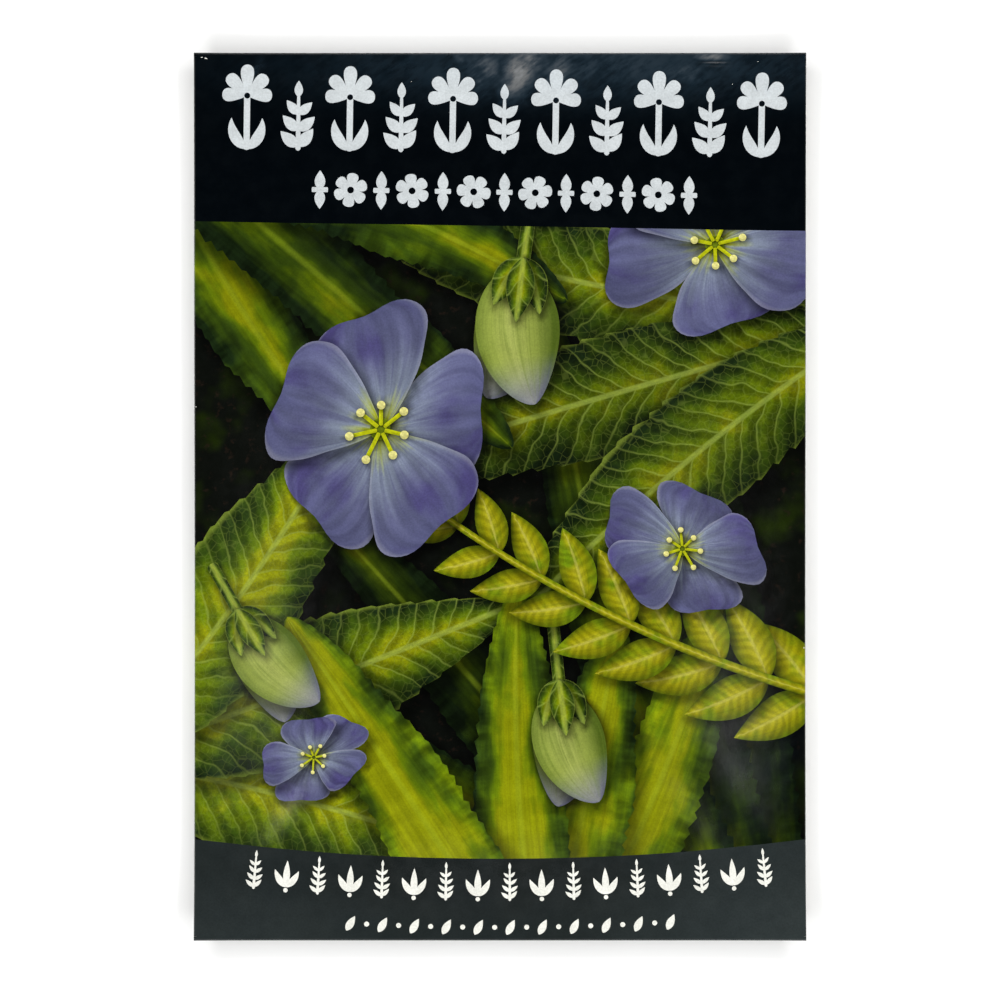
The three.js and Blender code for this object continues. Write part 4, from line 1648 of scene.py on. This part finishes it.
class SEEDPACKET_OT_sheet(bpy.types.Operator):
    """Fold and print the packet's sheet of paper"""

    bl_idname = "seedpacket.sheet"
    bl_label = "Paper sheet"

    def execute(self, context):
        sizes = context.scene.packet_sizes
        form = FoldedPacket(sizes)
        mesh = make_sheet_mesh(form, sizes.mesh_step / MM)
        for material in sheet_materials(context.scene.print_colours):
            mesh.materials.append(material)
        add_piece("packet_sheet", mesh, "paper_sheet")
        return {"FINISHED"}


class SEEDPACKET_OT_glue(bpy.types.Operator):
    """Give the three films of glue their dry, cloudy finish"""

    bl_idname = "seedpacket.glue"
    bl_label = "Glue films"

    def execute(self, context):
        material = uncoated_material("Dry glue", GLUE_COLOUR, 700, 0.45)
        for name in ("side_seam_glue", "bottom_flap_glue", "top_flap_glue"):
            for material_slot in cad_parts[name].material_slots:
                material_slot.material = material
        return {"FINISHED"}


# A seed's shape, in shares of its half size: how full it bulges, and the half size and dip of its scar.
SEED_FULLNESS = 0.92
SCAR_LENGTH = 0.42
SCAR_WIDTH = 0.16
SCAR_DIP = 0.05


def globe_points(segments, rings):
    """Points of a globe of radius 1, ring by ring, from its lowest to its highest."""
    points = [(0.0, 0.0, -1.0)]
    for rise in np.linspace(-math.pi / 2, math.pi / 2, rings + 1)[1:-1]:
        for turn in np.linspace(0, math.tau, segments, endpoint=False):
            points.append((math.cos(rise) * math.cos(turn), math.cos(rise) * math.sin(turn), math.sin(rise)))
    return np.array(points + [(0.0, 0.0, 1.0)])


def globe_faces(segments, rings):
    """Faces over those points: a fan at each end, and four-sided faces between the rings."""
    top = 1 + (rings - 2) * segments
    faces = []
    for i in range(segments):
        j = (i + 1) % segments
        faces.append((0, 1 + j, 1 + i))
        for ring in range(rings - 2):
            a, b = 1 + ring * segments + i, 1 + ring * segments + j
            faces.append((a, b, b + segments, a + segments))
        faces.append((top + i, top + j, top + segments))
    return faces


def seed_mesh(node, segments):
    """A bean seed that fills its node's box: an egg-round body with a dimple at its scar."""
    low, high = (np.array(corner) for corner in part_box(node))
    middle, half = (low + high) / 2, (high - low) / 2
    unit = globe_points(segments, segments // 2)
    faces = globe_faces(segments, segments // 2)
    scar = np.exp(-((unit[:, 1] / SCAR_LENGTH) ** 2 + (unit[:, 2] / SCAR_WIDTH) ** 2)) * (unit[:, 0] > 0)
    shaped = np.sign(unit) * np.abs(unit) ** SEED_FULLNESS
    points = middle + shaped * (1 - SCAR_DIP * scar)[:, None] * half
    mesh = bpy.data.meshes.new(node)
    mesh.from_pydata(points.tolist(), [], faces)
    mesh.polygons.foreach_set("use_smooth", [True] * len(faces))
    mesh.attributes.new("scar", "FLOAT", "POINT").data.foreach_set("value", scar)
    return mesh


class SEEDPACKET_OT_seeds(bpy.types.Operator):
    """Put the dozen bean seeds in the packet"""

    bl_idname = "seedpacket.seeds"
    bl_label = "Bean seeds"

    def execute(self, context):
        material = seed_material()
        for node in sorted(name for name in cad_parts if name.startswith("seed_")):
            mesh = seed_mesh(node, context.scene.packet_studio.seed_segments)
            mesh.materials.append(material)
            add_piece("bean_" + node, mesh, node)
        return {"FINISHED"}


# The stage, in metres. The table lies a hair under the packet, so that no two faces share one plane.
TABLE_HALF_WIDTH = 3.0
TABLE_BELOW = 0.00005
WORLD_LIGHT = 0.02

# The camera's film, in millimetres, and how high the packet's widest outline lies, by its middle height.
FILM_WIDTH = 36
OUTLINE_SHARE = 0.6

# The lamps, in metres: high enough to leave the packet's sides without glare, low enough for a dark front.
LAMP_AWAY = 1.22
LAMP_HEIGHT = 1.18
LAMP_SIZE = (2.8, 0.48)
FOOT_LAMP_AWAY = 1.36
FOOT_LAMP_HEIGHT = 1.02


def table_material(colour):
    """A pale, matt table with a barely clouded surface."""
    material, nodes, place = new_material("Table")
    grain = nodes.noise(place, 60, 3, 0.5)
    body = nodes.mix(nodes.range(grain, 0.3, 0.7), colour, darker(colour, 0.985))
    nodes.surface({"Base Color": body, "Roughness": 0.9, "Specular IOR Level": 0.1})
    return material


def add_table(colour):
    half = TABLE_HALF_WIDTH
    mesh = bpy.data.meshes.new("table")
    corners = [(-half, -half, 0), (half, -half, 0), (half, half, 0), (-half, half, 0)]
    mesh.from_pydata(corners, [], [(0, 1, 2, 3)])
    mesh.materials.append(table_material(colour))
    table = bpy.data.objects.new("table", mesh)
    table.location.z = -TABLE_BELOW
    bpy.context.scene.collection.objects.link(table)


def add_world():
    """A faint even light from all round."""
    world = bpy.data.worlds.new("Studio")
    world.use_nodes = True
    background = world.node_tree.nodes["Background"]
    background.inputs["Color"].default_value = (1, 1, 1, 1)
    background.inputs["Strength"].default_value = WORLD_LIGHT
    bpy.context.scene.world = world


def add_lamp(name, place, aim, width, height, power):
    """A soft rectangular lamp, turned towards a point."""
    lamp = bpy.data.lights.new(name, "AREA")
    lamp.shape = "RECTANGLE"
    lamp.size = width
    lamp.size_y = height
    lamp.energy = power
    held = bpy.data.objects.new(name, lamp)
    held.location = place
    held.rotation_euler = (Vector(aim) - Vector(place)).to_track_quat("-Z", "Y").to_euler()
    bpy.context.scene.collection.objects.link(held)


def add_camera(height):
    """A long lens straight over the packet, framed as the photograph is."""
    low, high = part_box("paper_sheet")
    outline_height = OUTLINE_SHARE * (low[2] + high[2]) / 2
    scale = (high[0] - low[0]) / (OUTLINE_RIGHT - OUTLINE_LEFT)
    camera = bpy.data.cameras.new("Camera")
    camera.sensor_width = FILM_WIDTH
    camera.lens = FILM_WIDTH * height / (scale * IMAGE_SIZE)
    camera.clip_start = 0.01
    held = bpy.data.objects.new("Camera", camera)
    middle_x = (OUTLINE_LEFT + OUTLINE_RIGHT - IMAGE_SIZE) / 2 * scale
    middle_y = (IMAGE_SIZE - OUTLINE_TOP - OUTLINE_BOTTOM) / 2 * scale
    held.location = (-middle_x, -middle_y, height + outline_height)
    bpy.context.scene.collection.objects.link(held)
    bpy.context.scene.camera = held


class SEEDPACKET_OT_stage(bpy.types.Operator):
    """Lay out the pale table, the soft studio lamps and the camera"""

    bl_idname = "seedpacket.stage"
    bl_label = "Table, lamps and camera"

    def execute(self, context):
        studio = context.scene.packet_studio
        add_table(studio.table)
        add_world()
        aim = (0, 0, 0)
        add_lamp("Foot lamp", (0, -FOOT_LAMP_AWAY, FOOT_LAMP_HEIGHT), aim, *LAMP_SIZE, studio.key_power)
        for name, x, y in (("Left lamp", -1, 0), ("Right lamp", 1, 0), ("Head lamp", 0, 1)):
            add_lamp(name, (x * LAMP_AWAY, y * LAMP_AWAY, LAMP_HEIGHT), aim, *LAMP_SIZE, studio.fill_power)
        context.scene.view_settings.view_transform = "Standard"
        add_camera(studio.camera_height)
        return {"FINISHED"}


class SEEDPACKET_PT_panel(bpy.types.Panel):
    """Steps and settings of the seed packet"""

    bl_idname = "SEEDPACKET_PT_panel"
    bl_label = "Seed packet"
    bl_space_type = "VIEW_3D"
    bl_region_type = "UI"
    bl_category = "Seed packet"

    def draw(self, context):
        for step in PIECES:
            self.layout.operator(step.bl_idname)
        for group in SETTINGS:
            settings = getattr(context.scene, group)
            column = self.layout.column(heading=settings.bl_rna.description)
            for name in settings.__annotations__:
                column.prop(settings, name)


SETTINGS = {"packet_sizes": PacketSizes, "print_colours": PrintColours, "packet_studio": StudioSettings}
PIECES = (SEEDPACKET_OT_stage, SEEDPACKET_OT_sheet, SEEDPACKET_OT_glue, SEEDPACKET_OT_seeds)


def register():
    for made in (*SETTINGS.values(), *PIECES, SEEDPACKET_PT_panel):
        bpy.utils.register_class(made)
    for name, settings in SETTINGS.items():
        setattr(bpy.types.Scene, name, PointerProperty(type=settings))


def unregister():
    for name in SETTINGS:
        delattr(bpy.types.Scene, name)
    for made in reversed((*SETTINGS.values(), *PIECES, SEEDPACKET_PT_panel)):
        bpy.utils.unregister_class(made)


def main():
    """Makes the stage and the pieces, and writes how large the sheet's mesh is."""
    register()
    bpy.ops.seedpacket.stage()
    bpy.ops.seedpacket.sheet()
    bpy.ops.seedpacket.glue()
    bpy.ops.seedpacket.seeds()


if __name__ == "__main__":
    main()
